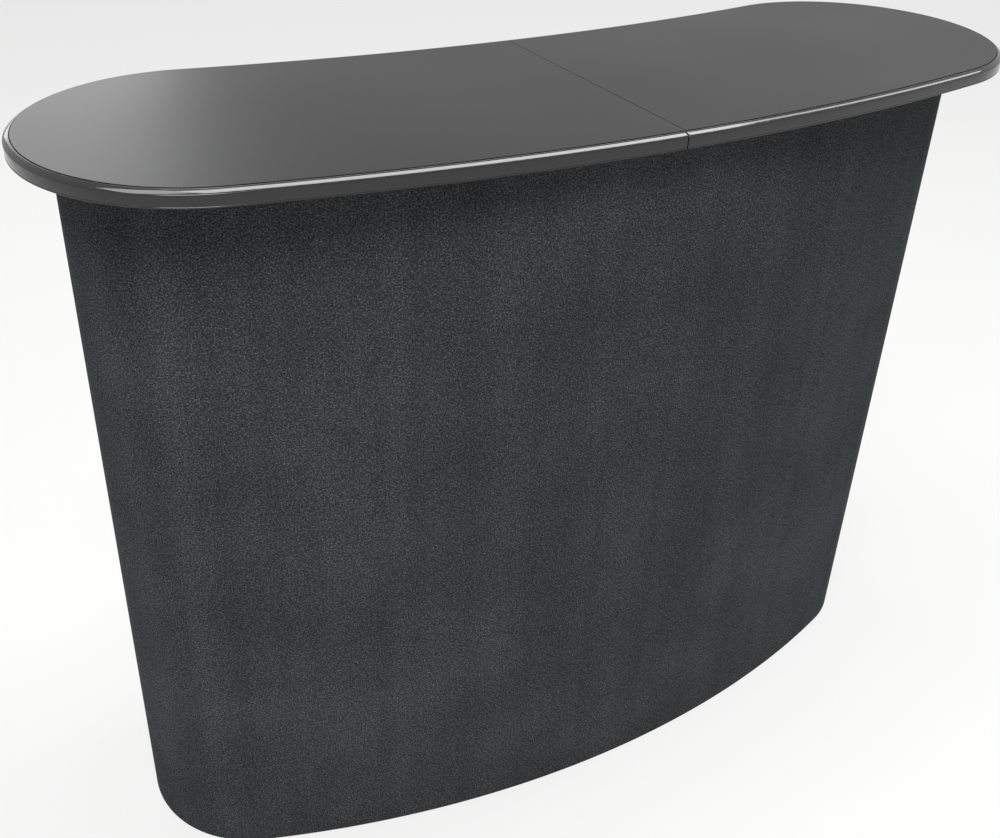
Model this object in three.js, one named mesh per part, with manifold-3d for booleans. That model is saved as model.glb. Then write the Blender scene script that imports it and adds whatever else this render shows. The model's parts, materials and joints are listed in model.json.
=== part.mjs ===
// Folding portable bar. A kidney-shaped top, hinged at mid-length, rests on three ladder frames. Two scissor
// bays draw the end frames in to the centre frame, two shelf leaves fold up, and a slatted wrap faced with
// loop-pile fabric stands round the front and the ends, with an open back for whoever serves.
// Millimetres, +Z up. The origin is on the floor under the middle of the top, +X runs along the bar and -Y
// is the customers' side. Paired pieces are made on the right and mirrored to the left.

import * as THREE from "three";
import { mergeVertices } from "three/addons/utils/BufferGeometryUtils.js";
import Module from "manifold-3d";

const wasm = await Module();
wasm.setup();

// Top
const barHeight = 1000;
const topLength = 1330;
const topEndRadius = 202;
const topFrontBulge = 44;
const topBackHollow = 38;
const topThickness = 19;
const seamGap = 0.6;

// Edge moulding, with a tongue in a groove round the board
const mouldingReach = 8;
const mouldingNose = 7.5;
const mouldingCorner = 2.5;
const tongueLength = 9;
const tongueThickness = 2;

// Concealed hinges in the two faces of the seam
const barrelRadius = 6;
const barrelLength = 30;
const barrelInset = 70;
const foldAxisRise = 0.5;

// Pegs under the left half, which drop through the seat plate
const pegRadius = 5;
const pegDrop = 20;
const pegDepth = 10;
const pegFromSeam = 30;
const pegSpacing = 120;

// Wrap
const frontOverhang = 34;
const endOverhang = 47;
const wrapEndRadius = 158;
const wrapFrontBulge = 80;
const fabricThickness = 1.5;
const coreThickness = 5;
const slatWidth = 20;
const grooveWidth = 2;
const grooveDepth = 3;
const wrapTopGap = 1;
const hemRise = 1;
const wingGap = 0.4;
const battenDepth = 20;

// Formers under the top, which the wrap's upper edge stands against
const formerThickness = 12;
const formerHeight = 22;
const formerGap = 2.5;

// Ladder frames
const postSize = 20;
const postWall = 1.6;
const railHeight = 20;
const topRailHeight = 25;
const sledHeight = 25;
const glideThickness = 3;
const seatThickness = 4;
const seatWidth = 90;
const endFrameInset = 30;
const frameWallGap = 9;

// Scissor bays
const strutWidth = 18;
const strutThickness = 4;
const pinRadius = 4;
const headRadius = 6.5;
const headThickness = 2;
const shoulderRadius = 7;
const strutGap = 1;
const bracketFace = 5.5;
const bracketReach = 14;
const bracketHeight = 24;
const sliderHeight = 30;
const centreBracketReach = 26;
const centrePivotOffset = 14;
const lowerPivotHeight = 95;
const sliderTopGap = 20;
const foldedBay = 78;

// Clamp knob on the centre slider
const knobRadius = 13;
const knobLobe = 1.6;
const knobLobes = 6;
const knobThickness = 12;
const screwRadius = 3;

// Shelf leaves
const shelfHeight = 430;
const shelfThickness = 12;
const shelfSideGap = 21;
const shelfLap = 16;
const shelfHingeOffset = 30;
const shelfInnerLap = 4;
const rodRadius = 3;
const rodGap = 0.5;
const rodBarrelWall = 2.2;
const hingePlateThickness = 2.5;
const hingePlateGap = 7;
const trayThickness = 3;
const trayDrop = 16;
const earRise = 8;
const earGap = 1;

// Clearances between pieces that are fixed together, that run on each other and that rest on each other
const fit = 0.2;
const runFit = 0.3;
const restGap = 0.3;

// Segments of the rounded pieces
const rimFrontSteps = 8;
const rimEndSteps = 26;
const formerSteps = 12;
const pinSides = 16;
const cornerSteps = 3;
const strutSteps = 8;

// Top outline: a convex front arc, round ends and a hollow back arc, tangent to each other
const underside = barHeight - topThickness;
const topEndX = topLength / 2 - topEndRadius;
const topFrontY = (topEndX ** 2 - topFrontBulge ** 2) / (2 * topFrontBulge);
const topFrontRadius = topFrontY + topEndRadius + topFrontBulge;
const topFrontAngle = Math.atan2(topEndX, topFrontY);
const topBackY = (topEndX ** 2 - topBackHollow ** 2) / (2 * topBackHollow);
const topBackRadius = topBackY - topEndRadius + topBackHollow;
const topBackAngle = Math.atan2(topEndX, topBackY);
const seamFrontY = -topEndRadius - topFrontBulge;
const seamBackY = topEndRadius - topBackHollow;

// Wrap outline: a front arc between the two hinge lines, and an end arc of half a turn for each wing
const wrapApexY = seamFrontY + frontOverhang;
const wrapEndX = topLength / 2 - endOverhang - wrapEndRadius;
const wrapEndY = wrapApexY + wrapFrontBulge + wrapEndRadius;
const wrapFrontY = wrapEndY + (wrapEndX ** 2 - wrapFrontBulge ** 2) / (2 * wrapFrontBulge);
const wrapFrontRadius = wrapFrontY - wrapApexY;
const wingAngle = Math.atan2(wrapEndX, wrapFrontY - wrapEndY);
const coreOuter = -fabricThickness - fit;
const coreInner = coreOuter - coreThickness;

// Strut layers in front of the posts, measured from a post's axis
const facetReach = postSize / 2 + bracketFace;
const innerLayer = facetReach + strutGap / 2;
const outerLayer = innerLayer + strutThickness + strutGap;
const stackDepth = outerLayer + strutThickness + runFit + headThickness;

// Frame places: the front posts stand just inside the wrap, and the end frames' back posts meet its battens
const centreFrontY = wrapApexY - coreInner + frameWallGap + stackDepth;
const endX = wrapEndX - endFrameInset;
const endWallY = wrapFrontY - Math.sqrt((wrapFrontRadius + coreInner) ** 2 - endX ** 2);
const endFrontY = endWallY + frameWallGap + stackDepth;
const wingInnerRadius = wrapEndRadius + coreInner - fit;
const wingBackY = wrapEndY + Math.sqrt(wingInnerRadius ** 2 - endFrameInset ** 2);
const battenFaceY = wingBackY - battenDepth;
const endBackY = battenFaceY - restGap - postSize / 2;
const ladderDepth = endBackY - endFrontY;
const bayAngle = Math.atan2(endFrontY - centreFrontY, endX);
const bayLength = Math.hypot(endX, endFrontY - centreFrontY);

// Heights of the ladder frames
const railTop = underside - restGap;
const topRailBottom = railTop - topRailHeight;
const sledTop = glideThickness + fit + sledHeight;

// Scissor: the struts are as long as the folded bay lets the sliders rise
const bayWidth = bayLength - centrePivotOffset;
const foldedWidth = foldedBay - centrePivotOffset;
const foldedRise = topRailBottom - sliderTopGap - sliderHeight / 2 - lowerPivotHeight;
const strutLength = Math.hypot(foldedWidth, foldedRise);
const openRise = Math.sqrt(strutLength ** 2 - bayWidth ** 2);
const strutSlope = Math.atan2(openRise, bayWidth);
const foldedSlope = Math.atan2(foldedRise, foldedWidth);
const sliderZ = lowerPivotHeight + openRise;

// Shelf hinge line
const rodZ = shelfHeight - rodGap - rodBarrelWall - runFit - rodRadius;
const trayZ = rodZ - trayDrop;
const trayFront = postSize / 2 + fit;
const trayBack = ladderDepth - postSize / 2 - fit;

// Finishes
const laminate = { color: 0x1d1d1e, roughness: 0.35, metalness: 0 };
const moulding = { color: 0x0b0b0c, roughness: 0.15, metalness: 0 };
const loopPile = { color: 0x3a3c3e, roughness: 0.95, metalness: 0 };
const hardboard = { color: 0x5b4635, roughness: 0.8, metalness: 0 };
const plywood = { color: 0xb98f5f, roughness: 0.6, metalness: 0 };
const aluminium = { color: 0xb4b6b8, roughness: 0.35, metalness: 1 };
const zincSteel = { color: 0x9a9c9e, roughness: 0.4, metalness: 1 };
const blackSteel = { color: 0x1c1c1d, roughness: 0.5, metalness: 0.4 };
const blackNylon = { color: 0x151516, roughness: 0.55, metalness: 0 };
const rubber = { color: 0x101010, roughness: 0.9, metalness: 0 };
const brass = { color: 0xb08d4a, roughness: 0.3, metalness: 1 };

function part(name, geometry, finish) {
  const mesh = new THREE.Mesh(geometry, new THREE.MeshStandardMaterial(finish));
  mesh.name = name;
  return mesh;
}

// A closed geometry as a solid that can be joined and cut
function solid(geometry) {
  const bare = new THREE.BufferGeometry();
  bare.setAttribute("position", geometry.getAttribute("position"));
  bare.setIndex(geometry.getIndex());
  const merged = mergeVertices(bare, 1e-4);
  const corners = merged.getIndex().array;
  const triVerts = [];
  for (let i = 0; i < corners.length; i += 3) {
    const [a, b, c] = corners.slice(i, i + 3);
    if (a !== b && b !== c && c !== a) {
      triVerts.push(a, b, c);
    }
  }
  const vertProperties = new Float32Array(merged.getAttribute("position").array);
  const mesh = new wasm.Mesh({ numProp: 3, vertProperties, triVerts: new Uint32Array(triVerts) });
  return new wasm.Manifold(mesh);
}

function geometryOf(shape) {
  const mesh = shape.getMesh();
  const geometry = new THREE.BufferGeometry();
  geometry.setAttribute("position", new THREE.BufferAttribute(mesh.vertProperties, 3));
  geometry.setIndex(new THREE.BufferAttribute(mesh.triVerts, 1));
  geometry.computeVertexNormals();
  return geometry;
}

// A block between two corners
function block(x0, x1, y0, y1, z0, z1) {
  const geometry = new THREE.BoxGeometry(x1 - x0, y1 - y0, z1 - z0);
  return geometry.translate((x0 + x1) / 2, (y0 + y1) / 2, (z0 + z1) / 2);
}

// A plan outline raised from one height to another
function prism(points, bottom, top, hole = []) {
  const shape = new THREE.Shape(points);
  if (hole.length > 0) {
    shape.holes.push(new THREE.Path(hole));
  }
  const geometry = new THREE.ExtrudeGeometry(shape, { depth: top - bottom, bevelEnabled: false });
  return geometry.translate(0, 0, bottom);
}

function square(size) {
  const half = size / 2;
  const corners = [[-half, -half], [half, -half], [half, half], [-half, half]];
  return corners.map(([x, y]) => new THREE.Vector2(x, y));
}

// Round bars along the three axes, each from its start towards the positive side
function barX(radius, x, y, z, length) {
  const geometry = new THREE.CylinderGeometry(radius, radius, length, pinSides);
  return geometry.rotateZ(Math.PI / 2).translate(x + length / 2, y, z);
}

function barY(radius, x, y, z, length) {
  return new THREE.CylinderGeometry(radius, radius, length, pinSides).translate(x, y + length / 2, z);
}

function barZ(radius, x, y, z, length) {
  const geometry = new THREE.CylinderGeometry(radius, radius, length, pinSides);
  return geometry.rotateX(Math.PI / 2).translate(x, y, z + length / 2);
}

// A point at a radius from a centre, in a direction turned from -Y towards +X
function polar(x, y, radius, angle) {
  return new THREE.Vector2(x + radius * Math.sin(angle), y - radius * Math.cos(angle));
}

function stepsBetween(from, to, count) {
  return Array.from({ length: count + 1 }, (_, i) => from + ((to - from) * i) / count);
}

// The right half of the top's rim, moved out by an offset, from the front of the seam round to the back
function topRim(offset) {
  const frontAngles = stepsBetween(0, topFrontAngle, rimFrontSteps);
  const endAngles = stepsBetween(topFrontAngle, Math.PI + topBackAngle, rimEndSteps);
  const backAngles = stepsBetween(topBackAngle, 0, rimFrontSteps);
  const front = frontAngles.map((angle) => polar(0, topFrontY, topFrontRadius + offset, angle));
  const end = endAngles.map((angle) => polar(topEndX, 0, topEndRadius + offset, angle));
  const back = backAngles.map((angle) => polar(0, topBackY, topBackRadius - offset, angle));
  const rim = [...front, ...end.slice(1), ...back.slice(1)];
  rim.at(0).x = seamGap / 2;
  rim.at(-1).x = seamGap / 2;
  return rim;
}

// A bar of one section along the rim: each section point is an offset from the rim and a height
function alongRim(section) {
  const rows = section.map((point) => topRim(point.x).map((p) => [p.x, p.y, point.y]));
  const length = rows[0].length;
  const index = [];
  rows.forEach((_, i) => {
    const next = (i + 1) % rows.length;
    for (let j = 0; j + 1 < length; j += 1) {
      const [a, b, c, d] = [i * length + j, next * length + j, next * length + j + 1, i * length + j + 1];
      index.push(a, c, b, a, d, c);
    }
  });
  THREE.ShapeUtils.triangulateShape(section, []).forEach(([a, b, c]) => {
    index.push(a * length, b * length, c * length);
    index.push(a * length + length - 1, c * length + length - 1, b * length + length - 1);
  });
  const geometry = new THREE.BufferGeometry();
  geometry.setAttribute("position", new THREE.Float32BufferAttribute(rows.flat(2), 3));
  geometry.setIndex(index);
  geometry.computeVertexNormals();
  return geometry;
}

// The edge moulding's section: a face with two rounded outer corners, and a tongue at mid-height
function mouldingSection() {
  const middle = barHeight - topThickness / 2;
  const inner = -mouldingReach + fit;
  const face = new THREE.Shape();
  face.moveTo(inner, underside);
  face.absarc(-mouldingCorner, underside + mouldingCorner, mouldingCorner, -Math.PI / 2, 0);
  face.absarc(-mouldingNose, barHeight - mouldingNose, mouldingNose, 0, Math.PI / 2);
  face.lineTo(inner, barHeight);
  face.lineTo(inner, middle + tongueThickness / 2);
  face.lineTo(-mouldingReach - tongueLength, middle + tongueThickness / 2);
  face.lineTo(-mouldingReach - tongueLength, middle - tongueThickness / 2);
  face.lineTo(inner, middle - tongueThickness / 2);
  return face.extractPoints(cornerSteps).shape;
}

// One half of the board, grooved for the moulding and drilled for the hinge barrels and the pegs
function boardSolid(pegPlaces) {
  const middle = barHeight - topThickness / 2;
  const grooveHalf = tongueThickness / 2 + fit;
  const board = solid(prism(topRim(-mouldingReach), underside, barHeight));
  const rimBand = solid(prism(topRim(0), middle - grooveHalf, middle + grooveHalf));
  const grooveFloor = topRim(-mouldingReach - tongueLength - fit);
  const bed = solid(prism(grooveFloor, middle - 2 * grooveHalf, middle + 2 * grooveHalf));
  let cut = board.subtract(rimBand.subtract(bed));
  for (const y of barrelPlaces()) {
    const depth = seamGap / 2 + barrelLength + 2 * fit;
    cut = cut.subtract(solid(barX(barrelRadius + fit, -fit, y, middle, depth)));
  }
  for (const y of pegPlaces) {
    const drill = barZ(pegRadius + fit, pegFromSeam, y, underside - pegDrop, pegDrop + pegDepth + fit);
    cut = cut.subtract(solid(drill));
  }
  return cut;
}

function barrelPlaces() {
  return [seamFrontY + barrelInset, seamBackY - barrelInset];
}

function pegPlaces() {
  const seatMiddle = centreFrontY + ladderDepth / 2;
  return [seatMiddle - pegSpacing / 2, seatMiddle + pegSpacing / 2];
}

// A line of the wrap's front or of its right end, moved out by an offset
function frontLine(offset, angles) {
  return angles.map((angle) => polar(0, wrapFrontY, wrapFrontRadius + offset, angle));
}

function endLine(offset, angles) {
  return angles.map((angle) => polar(wrapEndX, wrapEndY, wrapEndRadius + offset, angle));
}

function bandOutline(line, outer, inner, angles) {
  return [...line(outer, angles), ...line(inner, angles).reverse()];
}

// The slatted core: the slats are parted by V-grooves on the inside and hinge on the fabric
function coreOutline(line, angles, radius) {
  const groove = grooveWidth / 2 / radius;
  const inside = angles.slice(1, -1).flatMap((angle) => [
    ...line(coreInner, [angle - groove]),
    ...line(coreInner + grooveDepth, [angle]),
    ...line(coreInner, [angle + groove]),
  ]);
  const ends = line(coreInner, [angles.at(0), angles.at(-1)]);
  return [...line(coreOuter, angles), ends[1], ...inside.reverse(), ends[0]];
}

function wrapFront() {
  const reach = wingAngle - wingGap / 2 / wrapFrontRadius;
  const slats = Math.round((2 * reach * wrapFrontRadius) / slatWidth);
  const angles = stepsBetween(-reach, reach, slats);
  const wrapTop = underside - wrapTopGap;
  const group = new THREE.Group();
  const core = prism(coreOutline(frontLine, angles, wrapFrontRadius), 0, wrapTop);
  group.add(part("wrap_front_core", core, hardboard));
  const skin = bandOutline(frontLine, 0, -fabricThickness, angles);
  group.add(part("wrap_front_fabric", prism(skin, hemRise, wrapTop), loopPile));
  return group;
}

function wrapWing(side) {
  const start = wingAngle + wingGap / 2 / wrapEndRadius;
  const end = Math.PI + wingAngle;
  const slats = Math.round(((end - start) * wrapEndRadius) / slatWidth);
  const angles = stepsBetween(start, end, slats);
  const wrapTop = underside - wrapTopGap;
  const group = new THREE.Group();
  const core = prism(coreOutline(endLine, angles, wrapEndRadius), 0, wrapTop);
  group.add(part(`wrap_${side}_core`, core, hardboard));
  const skin = bandOutline(endLine, 0, -fabricThickness, angles);
  group.add(part(`wrap_${side}_fabric`, prism(skin, hemRise, wrapTop), loopPile));

  // The batten stiffens the slats at the wing's free edge and stands against the whole of the back post
  const postAngle = Math.PI + Math.asin((endFrameInset - postSize / 2) / wingInnerRadius);
  const battenSlats = Math.ceil(((end - postAngle) / (end - start)) * slats);
  const seat = endLine(coreInner - fit, angles.slice(-1 - battenSlats));
  const inner = new THREE.Vector2(seat.at(-1).x, battenFaceY);
  const outer = new THREE.Vector2(seat.at(0).x, battenFaceY);
  const battenTop = underside - formerHeight - formerGap;
  group.add(part(`wrap_${side}_batten`, prism([...seat, inner, outer], 0, battenTop), blackNylon));
  return group;
}

// The former follows the inside of the wrap from the seam to the wing's free edge
function formerOutline() {
  const outer = coreInner - formerGap;
  const inner = outer - formerThickness;
  const frontAngles = stepsBetween(0, wingAngle, formerSteps);
  const endAngles = stepsBetween(wingAngle, Math.PI + wingAngle, 2 * formerSteps).slice(1);
  const outside = [...frontLine(outer, frontAngles), ...endLine(outer, endAngles)];
  const inside = [...frontLine(inner, frontAngles), ...endLine(inner, endAngles)];
  outside.at(0).x = seamGap / 2;
  inside.at(0).x = seamGap / 2;
  return [...outside, ...inside.reverse()];
}

function topHalf(side, pegs) {
  const middle = barHeight - topThickness / 2;
  const group = new THREE.Group();
  group.add(part(`top_${side}_board`, geometryOf(boardSolid(pegs)), laminate));
  group.add(part(`top_${side}_moulding`, alongRim(mouldingSection()), moulding));
  const former = prism(formerOutline(), underside - formerHeight, underside - fit);
  group.add(part(`top_${side}_former`, former, plywood));
  barrelPlaces().forEach((y, i) => {
    const barrel = barX(barrelRadius, seamGap / 2, y, middle, barrelLength);
    group.add(part(`${["front", "back"][i]}_hinge_${side}_barrel`, barrel, brass));
  });
  pegs.forEach((y, i) => {
    const peg = barZ(pegRadius, pegFromSeam, y, underside - pegDrop, pegDrop + pegDepth);
    group.add(part(`${["front", "back"][i]}_peg`, peg, zincSteel));
  });
  return group;
}

// The pieces that all three ladders share, with the front post's axis at the group's origin
function ladder(side, topRailTop) {
  const half = postSize / 2;
  const back = ladderDepth + half;
  const post = square(postSize);
  const bore = square(postSize - 2 * postWall);
  const group = new THREE.Group();
  const postGeometry = prism(post, sledTop + fit, topRailBottom - fit, bore);
  group.add(part(`${side}_front_post`, postGeometry, aluminium));
  group.add(part(`${side}_back_post`, postGeometry.clone().translate(0, ladderDepth, 0), aluminium));
  group.add(part(`${side}_top_rail`, block(-half, half, -half, back, topRailBottom, topRailTop), aluminium));
  const sled = block(-half, half, -half, back, glideThickness + fit, sledTop);
  group.add(part(`${side}_sled_rail`, sled, blackSteel));
  group.add(part(`${side}_glide`, block(-half, half, -half, back, 0, glideThickness), rubber));
  return group;
}

// A rivet stud on a bay's normal, from inside its bracket to the head that keeps a strut in its layer
function stud(layer, x, z) {
  const neck = layer - runFit;
  const tip = layer + strutThickness + runFit;
  const hasShoulder = layer > innerLayer;
  const profile = [
    [0, -tip - headThickness],
    [headRadius, -tip - headThickness],
    [headRadius, -tip],
    [pinRadius, -tip],
    [pinRadius, -neck],
    ...(hasShoulder ? [[shoulderRadius, -neck]] : []),
    [hasShoulder ? shoulderRadius : pinRadius, -facetReach + bracketFace / 2],
    [0, -facetReach + bracketFace / 2],
  ];
  const points = profile.map(([radius, y]) => new THREE.Vector2(radius, y));
  return new THREE.LatheGeometry(points, pinSides).translate(x, 0, z).rotateZ(bayAngle);
}

// Brackets and sliders go round a front post, with faces square to the bays' normals
function collar(outline, height, z, clearance) {
  return solid(prism(outline, z - height / 2, z + height / 2, square(postSize + 2 * clearance)));
}

function facetPoint(x) {
  return new THREE.Vector2(x, -(facetReach - x * Math.sin(bayAngle)) / Math.cos(bayAngle));
}

function endCollar(height, z, clearance, layer) {
  const reach = bracketReach;
  const rear = [new THREE.Vector2(reach, reach), new THREE.Vector2(-reach, reach)];
  const outline = [facetPoint(-reach), facetPoint(reach), ...rear];
  return collar(outline, height, z, clearance).add(solid(stud(layer, 0, z)));
}

function centreCollar(height, z, clearance, layer) {
  const reach = centreBracketReach;
  const right = facetPoint(reach);
  const left = new THREE.Vector2(-right.x, right.y);
  const rear = [new THREE.Vector2(reach, bracketReach), new THREE.Vector2(-reach, bracketReach)];
  const rightStud = stud(layer, centrePivotOffset, z);
  const body = collar([left, facetPoint(0), right, ...rear], height, z, clearance);
  return body.add(solid(rightStud)).add(solid(mirrored(rightStud)));
}

// A geometry reflected to the other side of the bar, with its faces turned to point out again
function mirrored(geometry) {
  const copy = geometry.clone().scale(-1, 1, 1);
  copy.setIndex(Array.from(geometry.getIndex().array).reverse());
  return copy;
}

// A flat strut with three holes, from a lower pivot at the origin along a slope
function strut(layer) {
  const half = strutWidth / 2;
  const shape = new THREE.Shape();
  shape.absarc(0, 0, half, Math.PI / 2, (3 * Math.PI) / 2);
  shape.absarc(strutLength, 0, half, -Math.PI / 2, Math.PI / 2);
  for (const along of [0, strutLength / 2, strutLength]) {
    shape.holes.push(new THREE.Path().absarc(along, 0, pinRadius + runFit, 0, 2 * Math.PI));
  }
  const options = { depth: strutThickness, bevelEnabled: false, curveSegments: strutSteps };
  return new THREE.ExtrudeGeometry(shape, options).rotateX(Math.PI / 2).translate(0, -layer, 0);
}

// The rivet where two struts cross, with a washer between them
function crossPin() {
  const rear = innerLayer - runFit;
  const front = outerLayer + strutThickness + runFit;
  const gapStart = innerLayer + strutThickness + runFit;
  const gapEnd = outerLayer - runFit;
  const profile = [
    [0, -front - headThickness],
    [headRadius, -front - headThickness],
    [headRadius, -front],
    [pinRadius, -front],
    [pinRadius, -gapEnd],
    [headRadius, -gapEnd],
    [headRadius, -gapStart],
    [pinRadius, -gapStart],
    [pinRadius, -rear],
    [headRadius, -rear],
    [headRadius, -rear + headThickness],
    [0, -rear + headThickness],
  ];
  const points = profile.map(([radius, y]) => new THREE.Vector2(radius, y));
  return new THREE.LatheGeometry(points, pinSides);
}

// One scissor bay: +X of this group runs from the centre post to the end post
function scissorBay(side) {
  const bay = new THREE.Group();
  const inner = part(`${side}_inner_strut`, strut(innerLayer), aluminium);
  inner.position.set(centrePivotOffset, 0, lowerPivotHeight);
  inner.rotation.y = -strutSlope;
  const outer = part(`${side}_outer_strut`, strut(outerLayer), aluminium);
  outer.position.set(bayLength, 0, lowerPivotHeight);
  outer.rotation.y = strutSlope - Math.PI;
  const pin = part(`${side}_cross_pin`, crossPin(), zincSteel);
  pin.position.set(centrePivotOffset + bayWidth / 2, 0, lowerPivotHeight + openRise / 2);
  bay.add(inner, outer, pin);
  bay.rotation.z = bayAngle;
  bay.position.y = centreFrontY;
  return bay;
}

function endFrame(side) {
  const half = postSize / 2;
  const group = ladder(side, railTop);
  const shelfRailTop = shelfHeight - restGap;
  const shelfRail = block(-half, half, trayFront, trayBack, shelfRailTop - railHeight, shelfRailTop);
  group.add(part(`${side}_shelf_rail`, shelfRail, aluminium));
  const bracket = endCollar(bracketHeight, lowerPivotHeight, fit, outerLayer);
  group.add(part(`${side}_pivot_bracket`, geometryOf(bracket), blackSteel));
  const slider = endCollar(sliderHeight, sliderZ, runFit, innerLayer);
  group.add(part(`${side}_slider`, geometryOf(slider), blackNylon));
  group.position.set(endX, endFrontY, 0);
  return group;
}

// The tray between the centre posts, whose ears carry the rods that the shelf leaves turn on
function shelfTray() {
  const reach = shelfHingeOffset + earRise;
  const earTop = rodZ + earRise;
  const ears = [[trayFront, trayFront + trayThickness], [trayBack - trayThickness, trayBack]];
  let tray = solid(block(-reach, reach, trayFront, trayBack, trayZ, trayZ + trayThickness));
  for (const [front, back] of ears) {
    tray = tray.add(solid(block(-reach, reach, front, back, trayZ, earTop)));
  }
  const drillLength = trayBack - trayFront + 2 * fit;
  for (const x of [-shelfHingeOffset, shelfHingeOffset]) {
    tray = tray.subtract(solid(barY(rodRadius + fit, x, trayFront - fit, rodZ, drillLength)));
  }
  return tray;
}

function seatPlate() {
  const half = seatWidth / 2;
  const front = -postSize / 2;
  const back = ladderDepth + postSize / 2;
  const bottom = railTop - seatThickness;
  let plate = solid(block(-half, half, front, back, bottom, railTop));
  for (const y of pegPlaces()) {
    const along = y - centreFrontY;
    const hole = barZ(pegRadius + runFit, -pegFromSeam, along, bottom - fit, seatThickness + 2 * fit);
    plate = plate.subtract(solid(hole));
  }
  return plate;
}

// The centre slider is drilled for the knob's screw
function centreSlider() {
  const drill = barY(screwRadius + fit, 0, postSize / 2, sliderZ, bracketReach);
  return centreCollar(sliderHeight, sliderZ, runFit, outerLayer).subtract(solid(drill));
}

function clampKnob() {
  const outline = stepsBetween(0, 2 * Math.PI, 8 * knobLobes).slice(0, -1);
  const points = outline.map((angle) => {
    const radius = knobRadius + knobLobe * Math.cos(knobLobes * angle);
    return new THREE.Vector2(radius * Math.cos(angle), radius * Math.sin(angle));
  });
  const headStart = bracketReach + runFit;
  const head = prism(points, 0, knobThickness).rotateX(-Math.PI / 2).translate(0, headStart, sliderZ);
  const screwStart = postSize / 2 + runFit;
  const screw = barY(screwRadius, 0, screwStart, sliderZ, headStart - screwStart + knobThickness / 2);
  return solid(head).add(solid(screw));
}

function centreFrame() {
  const group = ladder("centre", railTop - seatThickness - fit);
  group.add(part("top_seat_plate", geometryOf(seatPlate()), blackSteel));
  group.add(part("centre_shelf_tray", geometryOf(shelfTray()), blackSteel));
  for (const [side, x] of [["left", -shelfHingeOffset], ["right", shelfHingeOffset]]) {
    const rod = barY(rodRadius, x, trayFront, rodZ, trayBack - trayFront);
    group.add(part(`${side}_shelf_rod`, rod, zincSteel));
  }
  const bracket = centreCollar(bracketHeight, lowerPivotHeight, fit, innerLayer);
  group.add(part("centre_pivot_bracket", geometryOf(bracket), blackSteel));
  group.add(part("centre_slider", geometryOf(centreSlider()), blackNylon));
  group.add(part("clamp_knob", geometryOf(clampKnob()), blackNylon));
  group.position.y = centreFrontY;
  return group;
}

// A shelf leaf with sides parallel to its bay, and the hinge strip screwed under its inner edge
function shelfLeaf(side) {
  const group = new THREE.Group();
  const start = shelfHingeOffset - shelfInnerLap;
  const end = endX - postSize / 2 + shelfLap;
  const slope = Math.tan(bayAngle);
  const corners = [[start, shelfSideGap], [end, shelfSideGap], [end, ladderDepth - shelfSideGap]];
  corners.push([start, ladderDepth - shelfSideGap]);
  const outline = corners.map(([x, y]) => new THREE.Vector2(x, centreFrontY + y + x * slope));
  group.add(part(`${side}_shelf_board`, prism(outline, shelfHeight, shelfHeight + shelfThickness), plywood));

  const stripFront = centreFrontY + trayFront + trayThickness + earGap;
  const stripBack = centreFrontY + trayBack - trayThickness - earGap;
  const stripLength = stripBack - stripFront;
  const bore = rodRadius + runFit;
  const barrel = solid(barY(bore + rodBarrelWall, shelfHingeOffset, stripFront, rodZ, stripLength));
  const plateTop = shelfHeight - fit;
  const plateEnd = foldedBay * Math.cos(bayAngle) - postSize / 2 - hingePlateGap;
  const plateBottom = plateTop - hingePlateThickness;
  const plate = block(shelfHingeOffset, plateEnd, stripFront, stripBack, plateBottom, plateTop);
  const boreCut = barY(bore, shelfHingeOffset, stripFront - fit, rodZ, stripLength + 2 * fit);
  const strip = barrel.add(solid(plate)).subtract(solid(boreCut));
  group.add(part(`${side}_shelf_hinge`, geometryOf(strip), aluminium));
  return group;
}

// The pieces of one side, made on the right and mirrored for the left
function sidePieces(side, pegs) {
  const group = new THREE.Group();
  group.add(topHalf(side, pegs));
  group.add(wrapWing(side));
  group.add(endFrame(side));
  group.add(scissorBay(side));
  group.add(shelfLeaf(side));
  return group;
}

const right = sidePieces("right", []);
const left = sidePieces("left", pegPlaces());
left.scale.x = -1;

const bar = new THREE.Group();
bar.add(centreFrame(), wrapFront(), right, left);
bar.position.y = topFrontBulge / 2;

// Joint lines on the right side, in the bar's own frame; the left side's are their mirror images
function bayPlace(along, z) {
  const x = along * Math.cos(bayAngle);
  return [x, bar.position.y + centreFrontY + along * Math.sin(bayAngle), z];
}
const wingLine = polar(wrapEndX, bar.position.y + wrapEndY, wrapEndRadius, wingAngle);
bar.userData.joints = {
  foldDegrees: THREE.MathUtils.radToDeg(foldedSlope - strutSlope),
  foldAxis: [Math.sin(bayAngle), -Math.cos(bayAngle), 0],
  innerStrut: bayPlace(centrePivotOffset, lowerPivotHeight),
  crossPin: bayPlace(centrePivotOffset + bayWidth / 2, lowerPivotHeight + openRise / 2),
  endFrame: bayPlace(bayLength, lowerPivotHeight),
  endSlider: bayPlace(bayLength, sliderZ),
  centreSlider: bayPlace(centrePivotOffset, sliderZ),
  clampKnob: [0, bar.position.y + centreFrontY, sliderZ],
  shelfLeaf: [shelfHingeOffset, 0, rodZ],
  topFold: [0, 0, barHeight + foldAxisRise],
  wing: [wingLine.x, wingLine.y, 0],
};

export default bar;
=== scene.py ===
import json
import math

import bpy
import numpy as np
from mathutils import Euler, Matrix, Vector

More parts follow.
